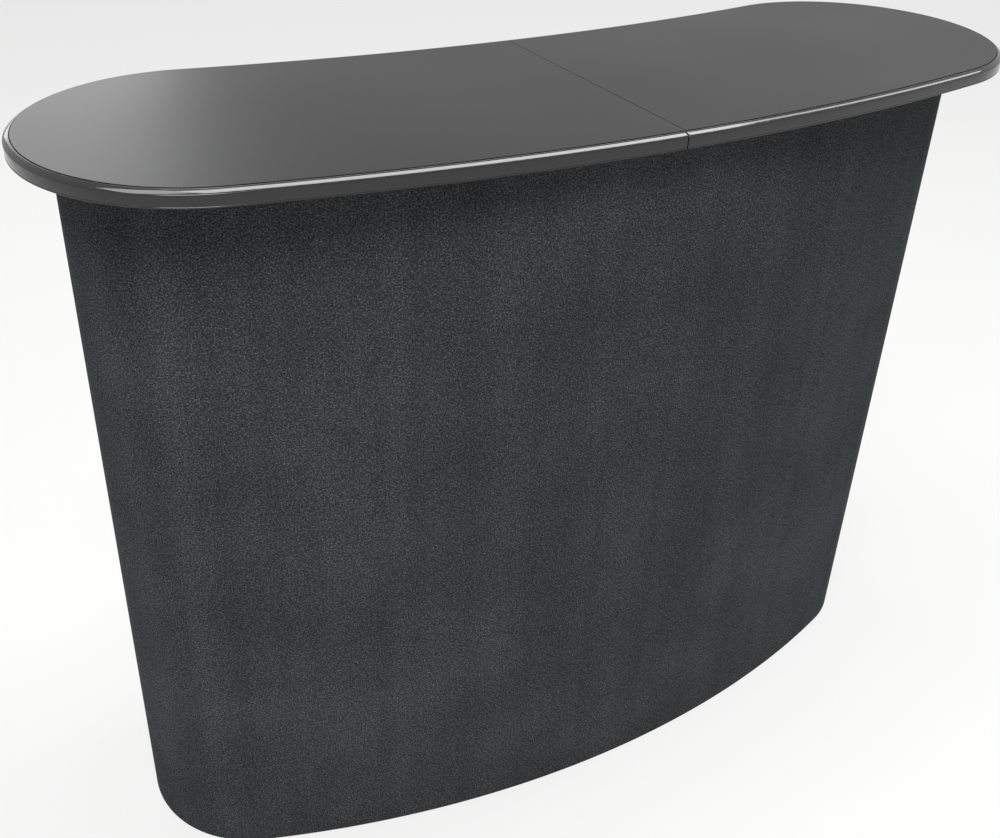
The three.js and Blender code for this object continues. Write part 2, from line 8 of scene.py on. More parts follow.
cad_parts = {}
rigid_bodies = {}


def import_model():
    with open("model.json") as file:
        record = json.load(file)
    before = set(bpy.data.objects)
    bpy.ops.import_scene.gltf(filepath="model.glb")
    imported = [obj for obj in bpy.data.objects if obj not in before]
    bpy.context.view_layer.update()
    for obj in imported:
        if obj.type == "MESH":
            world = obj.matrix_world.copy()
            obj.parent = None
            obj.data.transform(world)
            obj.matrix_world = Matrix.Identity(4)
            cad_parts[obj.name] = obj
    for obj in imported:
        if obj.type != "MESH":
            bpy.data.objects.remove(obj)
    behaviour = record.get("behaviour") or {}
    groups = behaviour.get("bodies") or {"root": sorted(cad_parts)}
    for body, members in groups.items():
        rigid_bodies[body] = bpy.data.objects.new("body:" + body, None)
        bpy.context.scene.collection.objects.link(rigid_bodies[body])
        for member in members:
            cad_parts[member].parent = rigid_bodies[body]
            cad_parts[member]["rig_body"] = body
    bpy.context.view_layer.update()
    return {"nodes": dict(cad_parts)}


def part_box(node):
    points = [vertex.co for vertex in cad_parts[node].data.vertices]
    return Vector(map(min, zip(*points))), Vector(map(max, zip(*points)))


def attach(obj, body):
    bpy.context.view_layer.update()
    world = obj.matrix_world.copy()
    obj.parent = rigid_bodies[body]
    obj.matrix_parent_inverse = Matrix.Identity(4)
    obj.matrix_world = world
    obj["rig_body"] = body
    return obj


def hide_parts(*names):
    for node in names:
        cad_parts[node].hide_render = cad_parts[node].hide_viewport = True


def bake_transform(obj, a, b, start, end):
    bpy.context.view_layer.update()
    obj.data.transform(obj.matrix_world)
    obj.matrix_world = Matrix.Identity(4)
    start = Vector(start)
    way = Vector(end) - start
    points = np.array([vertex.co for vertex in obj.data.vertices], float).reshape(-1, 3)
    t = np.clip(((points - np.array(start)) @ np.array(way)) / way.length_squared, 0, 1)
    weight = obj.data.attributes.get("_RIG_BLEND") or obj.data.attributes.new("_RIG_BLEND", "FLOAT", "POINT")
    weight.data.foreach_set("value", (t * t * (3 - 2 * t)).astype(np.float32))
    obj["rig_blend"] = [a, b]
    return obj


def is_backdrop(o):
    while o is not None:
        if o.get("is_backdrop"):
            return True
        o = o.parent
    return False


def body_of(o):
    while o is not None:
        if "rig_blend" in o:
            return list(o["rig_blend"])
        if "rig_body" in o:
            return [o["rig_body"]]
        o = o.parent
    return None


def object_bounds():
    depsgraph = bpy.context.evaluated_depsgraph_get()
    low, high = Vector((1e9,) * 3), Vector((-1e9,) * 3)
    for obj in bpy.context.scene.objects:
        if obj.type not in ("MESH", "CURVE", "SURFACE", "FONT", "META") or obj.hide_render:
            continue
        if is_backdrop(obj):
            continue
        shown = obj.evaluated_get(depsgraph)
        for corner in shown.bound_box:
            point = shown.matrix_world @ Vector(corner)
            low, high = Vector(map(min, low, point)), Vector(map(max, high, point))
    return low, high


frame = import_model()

# Folding portable bar: kidney top in two halves, slatted wrap faced with loop pile, scissor frame inside.
# Shapes are worked out in millimetres and putPiece turns them to metres.
print("frame loaded,", len(frame["nodes"]), "nodes")


# sRGB hex to linear: a straight foot, then a 2.4 power
def fromHex(code):
    channel = np.array([int(code[i:i + 2], 16) for i in (1, 3, 5)]) / 255
    linear = np.where(channel <= 0.04045, channel / 12.92, ((channel + 0.055) / 1.055) ** 2.4)
    return (*linear.tolist(), 1.0)


# one shader node with its properties, input values and links; stops fill a colour ramp
def addNode(tree, kind, inputs=None, links=None, stops=None, **settings):
    node = tree.nodes.new("ShaderNode" + kind)
    for key, value in settings.items():
        setattr(node, key, value)
    for key, value in (inputs or {}).items():
        node.inputs[key].default_value = value
    for key, socket in (links or {}).items():
        tree.links.new(socket, node.inputs[key])
    if stops:
        elements = node.color_ramp.elements
        while len(elements) < len(stops):
            elements.new(0.5)
        for element, (place, code) in zip(elements, stops):
            element.position = place
            element.color = fromHex(code)
    return node


# a material with its shader, set to the values that are the same all over it
def startFinish(name, colour, surface):
    finish = bpy.data.materials.new(name)
    finish.use_nodes = True
    finish.diffuse_color = fromHex(colour)
    shader = finish.node_tree.nodes["Principled BSDF"]
    shader.inputs["Base Color"].default_value = fromHex(colour)
    for key, value in surface.items():
        shader.inputs[key].default_value = value
    return finish, finish.node_tree, shader


# links what varies over the surface to the shader
def feed(tree, shader, colour, rough=None, normal=None):
    for key, socket in (("Base Color", colour), ("Roughness", rough), ("Normal", normal)):
        if socket is not None:
            tree.links.new(socket, shader.inputs[key])


# black high-pressure laminate, pressed satin: soft reflections, a fine pebble, wiped patches a little shinier
laminate, tree, shader = startFinish("blackLaminate", "#18181a", {"Roughness": 0.36, "IOR": 1.31})
coords = addNode(tree, "TexCoord")
pebble = addNode(tree, "TexNoise", {"Scale": 1000 / 1.4, "Detail": 2.0}, {"Vector": coords.outputs["Object"]})
wiped = addNode(tree, "TexNoise", {"Scale": 1000 / 260, "Detail": 0.0}, {"Vector": coords.outputs["Object"]})
tint = addNode(tree, "ValToRGB", links={"Fac": pebble.outputs[0]}, stops=[(0.3, "#171718"), (0.7, "#212122")])
gloss = addNode(tree, "MapRange", {"From Min": 0.3, "From Max": 0.7, "To Min": 0.35, "To Max": 0.39},
                {"Value": wiped.outputs[0]})
relief = addNode(tree, "Bump", {"Strength": 0.05, "Distance": 0.00005}, {"Height": pebble.outputs[0]})
feed(tree, shader, tint.outputs["Color"], gloss.outputs["Result"], relief.outputs["Normal"])

# extruded PVC edge moulding, high gloss: mirror streaks that waver slightly along its length
edgeGloss, tree, shader = startFinish("glossPvcMoulding", "#0a0a0b", {"Roughness": 0.1, "IOR": 1.62})
coords = addNode(tree, "TexCoord")
waver = addNode(tree, "TexNoise", {"Scale": 1000 / 34, "Detail": 2.0}, {"Vector": coords.outputs["Object"]})
scuff = addNode(tree, "TexNoise", {"Scale": 1000 / 6, "Detail": 4.0}, {"Vector": coords.outputs["Object"]})
tint = addNode(tree, "ValToRGB", links={"Fac": scuff.outputs[0]},
               stops=[(0.35, "#070708"), (0.75, "#121213")])
gloss = addNode(tree, "MapRange", {"From Min": 0.35, "From Max": 0.75, "To Min": 0.07, "To Max": 0.17},
                {"Value": scuff.outputs[0]})
relief = addNode(tree, "Bump", {"Strength": 0.25, "Distance": 0.0006}, {"Height": waver.outputs[0]})
feed(tree, shader, tint.outputs["Color"], gloss.outputs["Result"], relief.outputs["Normal"])

# charcoal loop-pile fabric, knitted and brushed: matt, speckled by loops about 1 mm across, which are drawn
# at about 2 mm so that they show, with faint upright bands of painted shade where the slats behind make the
# cloth wave
loopPile, tree, shader = startFinish("charcoalLoopPile", "#3a3c3e",
                                     {"Roughness": 0.95, "IOR": 1.3, "Specular IOR Level": 0.2})
lie = addNode(tree, "UVMap", uv_map="along")
loops = addNode(tree, "TexVoronoi", {"Scale": 1000 / 2.3, "Randomness": 1.0}, {"Vector": lie.outputs["UV"]},
                voronoi_dimensions="2D")
fuzz = addNode(tree, "TexNoise", {"Scale": 1000 / 1.8, "Detail": 2.0, "Roughness": 0.6},
               {"Vector": lie.outputs["UV"]}, noise_dimensions="2D")
nap = addNode(tree, "TexNoise", {"Scale": 1000 / 160, "Detail": 3.0}, {"Vector": lie.outputs["UV"]},
              noise_dimensions="2D")
across = addNode(tree, "SeparateXYZ", links={"Vector": lie.outputs["UV"]})
# painted shade: faint upright bands across the width, standing in for the cloth's waves over the slats
slatShadeBands = addNode(tree, "TexNoise", {"Scale": 1000 / 42, "Detail": 1.0}, {"W": across.outputs["X"]},
                noise_dimensions="1D")
tips = addNode(tree, "ValToRGB", links={"Fac": fuzz.outputs[0]},
               stops=[(0.32, "#292a2c"), (0.48, "#3f4143"), (0.6, "#505255"), (0.76, "#77797d")])
pick = addNode(tree, "SeparateColor", links={"Color": loops.outputs["Color"]})
loopShade = addNode(tree, "MapRange", {"To Min": 0.75, "To Max": 1.25}, {"Value": pick.outputs["Red"]})
napShade = addNode(tree, "MapRange", {"From Min": 0.3, "From Max": 0.7, "To Min": 0.88, "To Max": 1.12},
                   {"Value": nap.outputs[0]})
paintedSlatShade = addNode(tree, "MapRange", {"From Min": 0.3, "From Max": 0.7, "To Min": 0.93, "To Max": 1.07},
                    {"Value": slatShadeBands.outputs[0]})
both = addNode(tree, "Math", links={0: napShade.outputs["Result"], 1: paintedSlatShade.outputs["Result"]},
               operation="MULTIPLY")
shade = addNode(tree, "Math", links={0: both.outputs[0], 1: loopShade.outputs["Result"]},
                operation="MULTIPLY")
colour = addNode(tree, "VectorMath", links={0: tips.outputs["Color"], "Scale": shade.outputs[0]},
                 operation="SCALE")
height = addNode(tree, "Math", {1: 0.5}, {0: fuzz.outputs[0], 2: loops.outputs["Distance"]},
                 operation="MULTIPLY_ADD")
relief = addNode(tree, "Bump", {"Strength": 0.5, "Distance": 0.0006}, {"Height": height.outputs[0]},
                 invert=True)
feed(tree, shader, colour.outputs["Vector"], normal=relief.outputs["Normal"])

# oil-tempered hardboard slats, pressed: brown, matt, with short dark fibres
hardboard, tree, shader = startFinish("hardboard", "#5b4635", {"Roughness": 0.75, "IOR": 1.46})
coords = addNode(tree, "TexCoord")
fibres = addNode(tree, "TexNoise", {"Scale": 1000 / 2.0, "Detail": 4.0, "Distortion": 0.6},
                 {"Vector": coords.outputs["Object"]})
batch = addNode(tree, "TexNoise", {"Scale": 1000 / 90, "Detail": 2.0}, {"Vector": coords.outputs["Object"]})
fleck = addNode(tree, "ValToRGB", links={"Fac": fibres.outputs[0]},
                stops=[(0.3, "#433225"), (0.55, "#5d4836"), (0.8, "#755d47")])
cast = addNode(tree, "MapRange", {"From Min": 0.3, "From Max": 0.7, "To Min": 0.85, "To Max": 1.15},
               {"Value": batch.outputs[0]})
colour = addNode(tree, "VectorMath", links={0: fleck.outputs["Color"], "Scale": cast.outputs["Result"]},
                 operation="SCALE")
relief = addNode(tree, "Bump", {"Strength": 0.2, "Distance": 0.0003}, {"Height": fibres.outputs[0]})
feed(tree, shader, colour.outputs["Vector"], normal=relief.outputs["Normal"])

# aluminium extrusion, satin anodised: silver with fine draw lines along its length
aluminium, tree, shader = startFinish("anodisedAluminium", "#b9bbbd", {"Metallic": 1.0, "Roughness": 0.36})
lie = addNode(tree, "UVMap", uv_map="along")
stretch = addNode(tree, "Mapping", {"Scale": (1000 / 120, 1000 / 0.9, 1)}, {"Vector": lie.outputs["UV"]})
lines = addNode(tree, "TexNoise", {"Scale": 1.0, "Detail": 3.0}, {"Vector": stretch.outputs["Vector"]})
tint = addNode(tree, "ValToRGB", links={"Fac": lines.outputs[0]}, stops=[(0.3, "#a9abae"), (0.7, "#c3c5c7")])
gloss = addNode(tree, "MapRange", {"From Min": 0.3, "From Max": 0.7, "To Min": 0.3, "To Max": 0.44},
                {"Value": lines.outputs[0]})
relief = addNode(tree, "Bump", {"Strength": 0.08, "Distance": 0.0001}, {"Height": lines.outputs[0]})
feed(tree, shader, tint.outputs["Color"], gloss.outputs["Result"], relief.outputs["Normal"])

# the same alloy rolled and stamped, for the hinge strips: a cloudy satin with no direction
stamped, tree, shader = startFinish("stampedAluminium", "#b4b6b8", {"Metallic": 1.0, "Roughness": 0.38})
coords = addNode(tree, "TexCoord")
cloud = addNode(tree, "TexNoise", {"Scale": 1000 / 9, "Detail": 5.0}, {"Vector": coords.outputs["Object"]})
tint = addNode(tree, "ValToRGB", links={"Fac": cloud.outputs[0]}, stops=[(0.3, "#a3a5a8"), (0.7, "#bfc1c3")])
gloss = addNode(tree, "MapRange", {"From Min": 0.3, "From Max": 0.7, "To Min": 0.3, "To Max": 0.46},
                {"Value": cloud.outputs[0]})
feed(tree, shader, tint.outputs["Color"], gloss.outputs["Result"])

# black powder coat on steel, baked: an orange-peel skin of about 1.5 mm ripples
powderCoat, tree, shader = startFinish("blackPowderCoat", "#1a1b1c", {"Roughness": 0.45, "IOR": 1.5})
coords = addNode(tree, "TexCoord")
peel = addNode(tree, "TexNoise", {"Scale": 1000 / 1.5, "Detail": 1.0}, {"Vector": coords.outputs["Object"]})
rub = addNode(tree, "TexNoise", {"Scale": 1000 / 22, "Detail": 4.0}, {"Vector": coords.outputs["Object"]})
tint = addNode(tree, "ValToRGB", links={"Fac": rub.outputs[0]}, stops=[(0.35, "#151617"), (0.75, "#232425")])
gloss = addNode(tree, "MapRange", {"From Min": 0.3, "From Max": 0.7, "To Min": 0.4, "To Max": 0.55},
                {"Value": rub.outputs[0]})
relief = addNode(tree, "Bump", {"Strength": 0.25, "Distance": 0.0002}, {"Height": peel.outputs[0]})
feed(tree, shader, tint.outputs["Color"], gloss.outputs["Result"], relief.outputs["Normal"])

# black nylon, injection moulded in a spark-eroded mould: an even satin grain of about 0.8 mm
nylon, tree, shader = startFinish("mouldedNylon", "#161617", {"Roughness": 0.5, "IOR": 1.53})
coords = addNode(tree, "TexCoord")
spark = addNode(tree, "TexVoronoi", {"Scale": 1000 / 0.8}, {"Vector": coords.outputs["Object"]})
dust = addNode(tree, "TexNoise", {"Scale": 1000 / 14, "Detail": 4.0}, {"Vector": coords.outputs["Object"]})
tint = addNode(tree, "ValToRGB", links={"Fac": dust.outputs[0]}, stops=[(0.4, "#131314"), (0.8, "#232323")])
gloss = addNode(tree, "MapRange", {"From Min": 0.3, "From Max": 0.7, "To Min": 0.44, "To Max": 0.58},
                {"Value": dust.outputs[0]})
relief = addNode(tree, "Bump", {"Strength": 0.2, "Distance": 0.0001}, {"Height": spark.outputs["Distance"]})
feed(tree, shader, tint.outputs["Color"], gloss.outputs["Result"], relief.outputs["Normal"])

# zinc-plated steel, turned and passivated: bluish silver that drifts to straw
zinc, tree, shader = startFinish("zincPlatedSteel", "#a6a9ab", {"Metallic": 1.0, "Roughness": 0.34})
coords = addNode(tree, "TexCoord")
drift = addNode(tree, "TexNoise", {"Scale": 1000 / 5, "Detail": 3.0}, {"Vector": coords.outputs["Object"]})
tint = addNode(tree, "ValToRGB", links={"Fac": drift.outputs[0]}, stops=[(0.35, "#9aa1a6"), (0.7, "#b8b3a4")])
gloss = addNode(tree, "MapRange", {"From Min": 0.3, "From Max": 0.7, "To Min": 0.26, "To Max": 0.42},
                {"Value": drift.outputs[0]})
feed(tree, shader, tint.outputs["Color"], gloss.outputs["Result"])

# black rubber strip, extruded: dull, with floor dust in its skin
rubber, tree, shader = startFinish("blackRubber", "#191919", {"Roughness": 0.9, "IOR": 1.52})
coords = addNode(tree, "TexCoord")
dust = addNode(tree, "TexNoise", {"Scale": 1000 / 4, "Detail": 5.0}, {"Vector": coords.outputs["Object"]})
tint = addNode(tree, "ValToRGB", links={"Fac": dust.outputs[0]}, stops=[(0.4, "#141414"), (0.8, "#33312e")])
relief = addNode(tree, "Bump", {"Strength": 0.2, "Distance": 0.0002}, {"Height": dust.outputs[0]})
feed(tree, shader, tint.outputs["Color"], normal=relief.outputs["Normal"])

# turned brass of the hinge barrels: warm, bright, lightly tarnished
brass, tree, shader = startFinish("turnedBrass", "#b08d4a", {"Metallic": 1.0, "Roughness": 0.28})
coords = addNode(tree, "TexCoord")
tarnish = addNode(tree, "TexNoise", {"Scale": 1000 / 4, "Detail": 4.0}, {"Vector": coords.outputs["Object"]})
tint = addNode(tree, "ValToRGB", links={"Fac": tarnish.outputs[0]},
               stops=[(0.35, "#9c7a3c"), (0.65, "#bf9d58")])
gloss = addNode(tree, "MapRange", {"From Min": 0.3, "From Max": 0.7, "To Min": 0.22, "To Max": 0.4},
                {"Value": tarnish.outputs[0]})
feed(tree, shader, tint.outputs["Color"], gloss.outputs["Result"])

# birch plywood, sanded and sealed: pale long grain on the faces, nine plies of 1.33 mm on the edges
birch, tree, shader = startFinish("birchPlywood", "#c9a878", {"Roughness": 0.5, "IOR": 1.5})
coords = addNode(tree, "TexCoord")
alongGrain = addNode(tree, "Mapping", {"Scale": (1000 / 160, 1000 / 7, 1000 / 7)},
                     {"Vector": coords.outputs["Object"]})
grain = addNode(tree, "TexNoise", {"Scale": 1.0, "Detail": 5.0, "Distortion": 0.8},
                {"Vector": alongGrain.outputs["Vector"]})
pores = addNode(tree, "Mapping", {"Scale": (1000 / 14, 1000 / 0.9, 1000 / 0.9)},
                {"Vector": coords.outputs["Object"]})
poreNoise = addNode(tree, "TexNoise", {"Scale": 1.0, "Detail": 2.0}, {"Vector": pores.outputs["Vector"]})
figure = addNode(tree, "ValToRGB", links={"Fac": grain.outputs[0]},
                 stops=[(0.3, "#b48d5c"), (0.5, "#cbab7c"), (0.72, "#d9bf96")])
poreShade = addNode(tree, "MapRange", {"From Min": 0.3, "From Max": 0.6, "To Min": 0.84, "To Max": 1.04},
                    {"Value": poreNoise.outputs[0]})
face = addNode(tree, "VectorMath", links={0: figure.outputs["Color"], "Scale": poreShade.outputs["Result"]},
               operation="SCALE")
upright = addNode(tree, "SeparateXYZ", links={"Vector": coords.outputs["Object"]})
plies = addNode(tree, "Math", {1: math.pi / 0.00133}, {0: upright.outputs["Z"]}, operation="MULTIPLY")
stripe = addNode(tree, "Math", links={0: plies.outputs[0]}, operation="SINE")
edge = addNode(tree, "ValToRGB", links={"Fac": stripe.outputs[0]},
               stops=[(0.0, "#8d673f"), (0.25, "#c4a06c")])
facing = addNode(tree, "SeparateXYZ", links={"Vector": coords.outputs["Normal"]})
lean = addNode(tree, "Math", links={0: facing.outputs["Z"]}, operation="ABSOLUTE")
isFace = addNode(tree, "Math", {1: 0.75}, {0: lean.outputs[0]}, operation="GREATER_THAN")
colour = addNode(tree, "Mix", data_type="RGBA",
                 links={0: isFace.outputs[0], 6: edge.outputs["Color"], 7: face.outputs["Vector"]})
relief = addNode(tree, "Bump", {"Strength": 0.1, "Distance": 0.0002}, {"Height": poreNoise.outputs[0]})
feed(tree, shader, colour.outputs[2], normal=relief.outputs["Normal"])

# bent plywood of the formers: the veneers follow the curve, so its lower edge shows plies side by side
bentPly, tree, shader = startFinish("bentPlywood", "#b98f5f", {"Roughness": 0.55, "IOR": 1.5})
lie = addNode(tree, "UVMap", uv_map="along")
coords = addNode(tree, "TexCoord")
stretch = addNode(tree, "Mapping", {"Scale": (1000 / 110, 1000 / 3, 1)}, {"Vector": lie.outputs["UV"]})
grain = addNode(tree, "TexNoise", {"Scale": 1.0, "Detail": 4.0}, {"Vector": stretch.outputs["Vector"]})
figure = addNode(tree, "ValToRGB", links={"Fac": grain.outputs[0]},
                 stops=[(0.3, "#a67e50"), (0.7, "#c9a676")])
around = addNode(tree, "SeparateXYZ", links={"Vector": lie.outputs["UV"]})
plies = addNode(tree, "Math", {1: math.pi / 0.0015}, {0: around.outputs["Y"]}, operation="MULTIPLY")
stripe = addNode(tree, "Math", links={0: plies.outputs[0]}, operation="SINE")
edge = addNode(tree, "ValToRGB", links={"Fac": stripe.outputs[0]},
               stops=[(0.0, "#86613b"), (0.25, "#bd9763")])
facing = addNode(tree, "SeparateXYZ", links={"Vector": coords.outputs["Normal"]})
lean = addNode(tree, "Math", links={0: facing.outputs["Z"]}, operation="ABSOLUTE")
isEdge = addNode(tree, "Math", {1: 0.75}, {0: lean.outputs[0]}, operation="GREATER_THAN")
colour = addNode(tree, "Mix", data_type="RGBA",
                 links={0: isEdge.outputs[0], 6: figure.outputs["Color"], 7: edge.outputs["Color"]})
feed(tree, shader, colour.outputs[2])

# hook tape and edge binding, woven nylon: dull black and nubbly, with a loop every 1.2 mm
tape, tree, shader = startFinish("wovenNylonTape", "#141415", {"Roughness": 0.85, "Sheen Weight": 0.1})
lie = addNode(tree, "UVMap", uv_map="along")
nubs = addNode(tree, "TexVoronoi", {"Scale": 1000 / 1.2, "Randomness": 0.3}, {"Vector": lie.outputs["UV"]},
               voronoi_dimensions="2D")
# painted shade: the colour is lighter on each loop's top and darker into the hollows between the loops
tint = addNode(tree, "ValToRGB", links={"Fac": nubs.outputs["Distance"]},
               stops=[(0.1, "#242425"), (0.7, "#0c0c0d")])
relief = addNode(tree, "Bump", {"Strength": 0.5, "Distance": 0.0003}, {"Height": nubs.outputs["Distance"]},
                 invert=True)
feed(tree, shader, tint.outputs["Color"], normal=relief.outputs["Normal"])
print("finishes made,", len(bpy.data.materials))


# rows run along the path and columns round the profile; each cell is a quad, and UV holds the lengths along
# and round. caps close the two end rows, loopRows joins the last row to the first. Faces are turned outwards
# by the sign of the volume that they enclose.
def gridShape(points, caps=True, loopRows=False):
    rows, columns = points.shape[:2]
    flat = points.reshape(-1, 3)
    runRows = np.concatenate([points, points[:1]]) if loopRows else points
    ring = np.concatenate([points, points[:, :1]], 1)
    along = np.r_[0, np.linalg.norm(np.diff(runRows, axis=0), axis=2).mean(1).cumsum()]
    around = np.r_[0, np.linalg.norm(np.diff(ring, axis=1), axis=2).mean(0).cumsum()]
    i, j = (a.ravel() for a in np.meshgrid(np.arange(len(along) - 1), np.arange(columns), indexing="ij"))
    below, beside = (i + 1) % rows, (j + 1) % columns
    here, under = i * columns, below * columns
    quads = np.stack([here + j, here + beside, under + beside, under + j], 1)
    corners = [(i, j), (i, j + 1), (i + 1, j + 1), (i + 1, j)]
    uv = np.stack([np.stack([along[a], around[b]], 1) for a, b in corners], 1)
    a, b, c, d = flat[quads].transpose(1, 0, 2)
    volume = (a * np.cross(b, c)).sum() + (a * np.cross(c, d)).sum()
    faces, uvs = quads.tolist(), list(uv)
    if caps and not loopRows:
        first = np.arange(columns)[::-1]
        last = (rows - 1) * columns + np.arange(columns)
        for loop in (first, last):
            p = flat[loop]
            volume += (p[0] * np.cross(p[1:-1], p[2:]).sum(0)).sum()
            wide = np.sort(np.argsort(np.ptp(p, axis=0))[1:])
            faces.append(loop.tolist())
            uvs.append(p[:, wide])
    if volume < 0:
        faces, uvs = [f[::-1] for f in faces], [u[::-1] for u in uvs]
    return flat, faces, uvs


# a shape laid on three axes from an origin; a mirroring keeps its faces outwards
def turned(shape, axes, origin=(0, 0, 0)):
    points, faces, uvs = shape
    axes = np.array(axes, float)
    if np.linalg.det(axes) < 0:
        faces, uvs = [f[::-1] for f in faces], [u[::-1] for u in uvs]
    return points @ axes + np.array(origin), faces, uvs


mirrorAxes = [[-1, 0, 0], [0, 1, 0], [0, 0, 1]]
sides = {"right": np.eye(3), "left": np.array(mirrorAxes)}


# one mesh object of several shapes, in metres, with its finish, on its body
def putPiece(name, shapes, finish, body, stands=(), sharp=40):
    starts = np.r_[0, np.cumsum([len(s[0]) for s in shapes])]
    points = np.concatenate([s[0] for s in shapes]) * 0.001
    faces = [[int(v + start) for v in f] for s, start in zip(shapes, starts) for f in s[1]]
    uvs = np.concatenate([u for s in shapes for u in s[2]]) * 0.001
    mesh = bpy.data.meshes.new(name)
    mesh.from_pydata(points.tolist(), [], faces)
    mesh.uv_layers.new(name="along").data.foreach_set("uv", uvs.astype(np.float32).ravel())
    mesh.polygons.foreach_set("use_smooth", np.ones(len(faces), bool))
    mesh.set_sharp_from_angle(angle=math.radians(sharp))
    mesh.materials.append(finish)
    mesh.update()
    piece = bpy.data.objects.new(name, mesh)
    bpy.context.collection.objects.link(piece)
    even = piece.modifiers.new("evenNormals", "WEIGHTED_NORMAL")
    even.keep_sharp = True
    if body:
        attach(piece, body)
    if stands:
        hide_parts(*stands)
    return piece


# corners of a convex outline, walked anticlockwise, each turned into an arc tangent to its two sides
def roundedOutline(corners, radius, steps=4):
    corners = np.asarray(corners, float)
    back = np.roll(corners, 1, 0) - corners
    ahead = np.roll(corners, -1, 0) - corners
    back /= np.linalg.norm(back, axis=1)[:, None]
    ahead /= np.linalg.norm(ahead, axis=1)[:, None]
    half = np.arccos(np.clip((back * ahead).sum(1), -1, 1)) / 2
    inward = (back + ahead) / np.linalg.norm(back + ahead, axis=1)[:, None]
    centre = corners + inward * (radius / np.sin(half))[:, None]
    touch = corners + back * (radius / np.tan(half))[:, None] - centre
    first = np.arctan2(touch[:, 1], touch[:, 0])
    angle = first[:, None] + (np.pi - 2 * half)[:, None] * np.linspace(0, 1, steps + 1)
    return (centre[:, None] + radius * np.stack([np.cos(angle), np.sin(angle)], 2)).reshape(-1, 2)


# the four corners of a rectangle, walked anticlockwise
def rectangle(left, low, right, high):
    return [[left, low], [right, low], [right, high], [left, high]]


# convex outline by angle: its radius is a soft minimum of the distances to the sides (normal x, normal y,
# distance), so the corners come out rounded
def softOutline(walls, count=120, power=36):
    angle = np.linspace(0, 2 * np.pi, count, endpoint=False)
    aim = np.stack([np.cos(angle), np.sin(angle)], 1)
    walls = np.array(walls, float)
    reach = np.clip(aim @ walls[:, :2].T, 0, None) / walls[:, 2]
    return aim / ((reach ** power).sum(1) ** (1 / power))[:, None]


# stations of (place, inset) from low to high, with ends that follow a quarter circle
def softEnds(low, high, bevel):
    angle = np.linspace(0, np.pi / 2, 4)
    inset = bevel * (1 - np.sin(angle))
    rise = bevel * (1 - np.cos(angle))
    return np.concatenate([np.stack([low + rise, inset], 1), np.stack([high - rise, inset], 1)[::-1]])


# an outline carried along one axis through its stations, drawn in along its normals by each inset
def loft(outline, stations, axis=2):
    step = np.roll(outline, -1, 0) - np.roll(outline, 1, 0)
    normal = np.stack([step[:, 1], -step[:, 0]], 1) / np.linalg.norm(step, axis=1)[:, None]
    ring = outline[None] - normal[None] * stations[:, 1, None, None]
    place = np.broadcast_to(stations[:, 0, None, None], ring.shape[:2] + (1,))
    order = {0: [2, 0, 1], 1: [0, 2, 1], 2: [0, 1, 2]}[axis]
    return gridShape(np.concatenate([ring, place], 2)[:, :, order])


# a profile of (radius, height) turned round the third axis
def lathe(profile, count=32):
    angle = np.linspace(0, 2 * np.pi, count, endpoint=False)
    profile = np.array(profile, float)
    ring = profile[:, :1, None] * np.stack([np.cos(angle), np.sin(angle)], 1)[None]
    height = np.broadcast_to(profile[:, 1, None, None], ring.shape[:2] + (1,))
    return gridShape(np.concatenate([ring, height], 2))


# points at centre plus radius times (sin, -cos) of each angle, and the directions that lead outwards
def arc(centreX, centreY, radius, angle, outward=1):
    aim = np.stack([np.sin(angle), -np.cos(angle)], 1)
    return np.array([centreX, centreY]) + radius * aim, outward * aim


# runs of (points, directions) end to end; each starts where the last one stops, so that point is dropped
def joinRuns(runs):
    points = np.concatenate([runs[0][0]] + [r[0][1:] for r in runs[1:]])
    return points, np.concatenate([runs[0][1]] + [r[1][1:] for r in runs[1:]])


# a closed profile of (offset, z) carried along a path; inset draws the offsets in, never past their lowest
def sweep(path, profile, inset=None):
    points, out = path
    profile = np.array(profile, float)
    inset = np.zeros(len(points)) if inset is None else inset
    reach = np.maximum(profile[None, :, 0] - inset[:, None], profile[:, 0].min())
    plan = points[:, None] + out[:, None] * reach[:, :, None]
    z = np.broadcast_to(profile[None, :, 1, None], plan.shape[:2] + (1,))
    return gridShape(np.concatenate([plan, z], 2))


# Top: kidney outline of a front arc, a round end and a hollow back arc, tangent to each other
top = {"endX": 463.0, "endRadius": 202.0, "bulge": 44.0, "hollow": 38.0, "middleY": 22.0, "seam": 0.3,
       "low": 981.0, "high": 1000.0, "edge": 8.0, "corner": 2.2}
frontY = (top["endX"] ** 2 - top["bulge"] ** 2) / (2 * top["bulge"])
frontRadius = frontY + top["endRadius"] + top["bulge"]
frontAngle = math.atan2(top["endX"], frontY)
backY = (top["endX"] ** 2 - top["hollow"] ** 2) / (2 * top["hollow"])
backRadius = backY - top["endRadius"] + top["hollow"]
backAngle = math.atan2(top["endX"], backY)
nearSeam = top["seam"] + np.array([0, 0.1, 0.3, 0.6, 1.0, 1.5, 2.2])
frontRun = np.r_[nearSeam / frontRadius, np.linspace(12 / frontRadius, frontAngle, 70)]
endRun = np.linspace(frontAngle, np.pi + backAngle, 150)
backRun = np.r_[np.linspace(backAngle, 12 / backRadius, 60), nearSeam[::-1] / backRadius]
rim = joinRuns([arc(0, frontY + top["middleY"], frontRadius, frontRun),
                arc(top["endX"], top["middleY"], top["endRadius"], endRun),
                arc(0, backY + top["middleY"], backRadius, backRun, -1)])

# the moulding's section: a thin lip below, an upright face, a crowned slope, and a bead against the laminate
lowerLip = np.array([[-2.6, 0], [-0.9, 0], [-0.3, 0.3], [-0.1, 0.9], [-0.3, 1.5], [-0.7, 1.8]])
lowerLip += [0, top["low"]]
swellRise = np.linspace(top["low"] + 2.1, top["high"] - 6.4, 7)
swell = np.stack([-0.5 + 0.5 * np.sin(np.linspace(0, np.pi / 2, 7)), swellRise], 1)
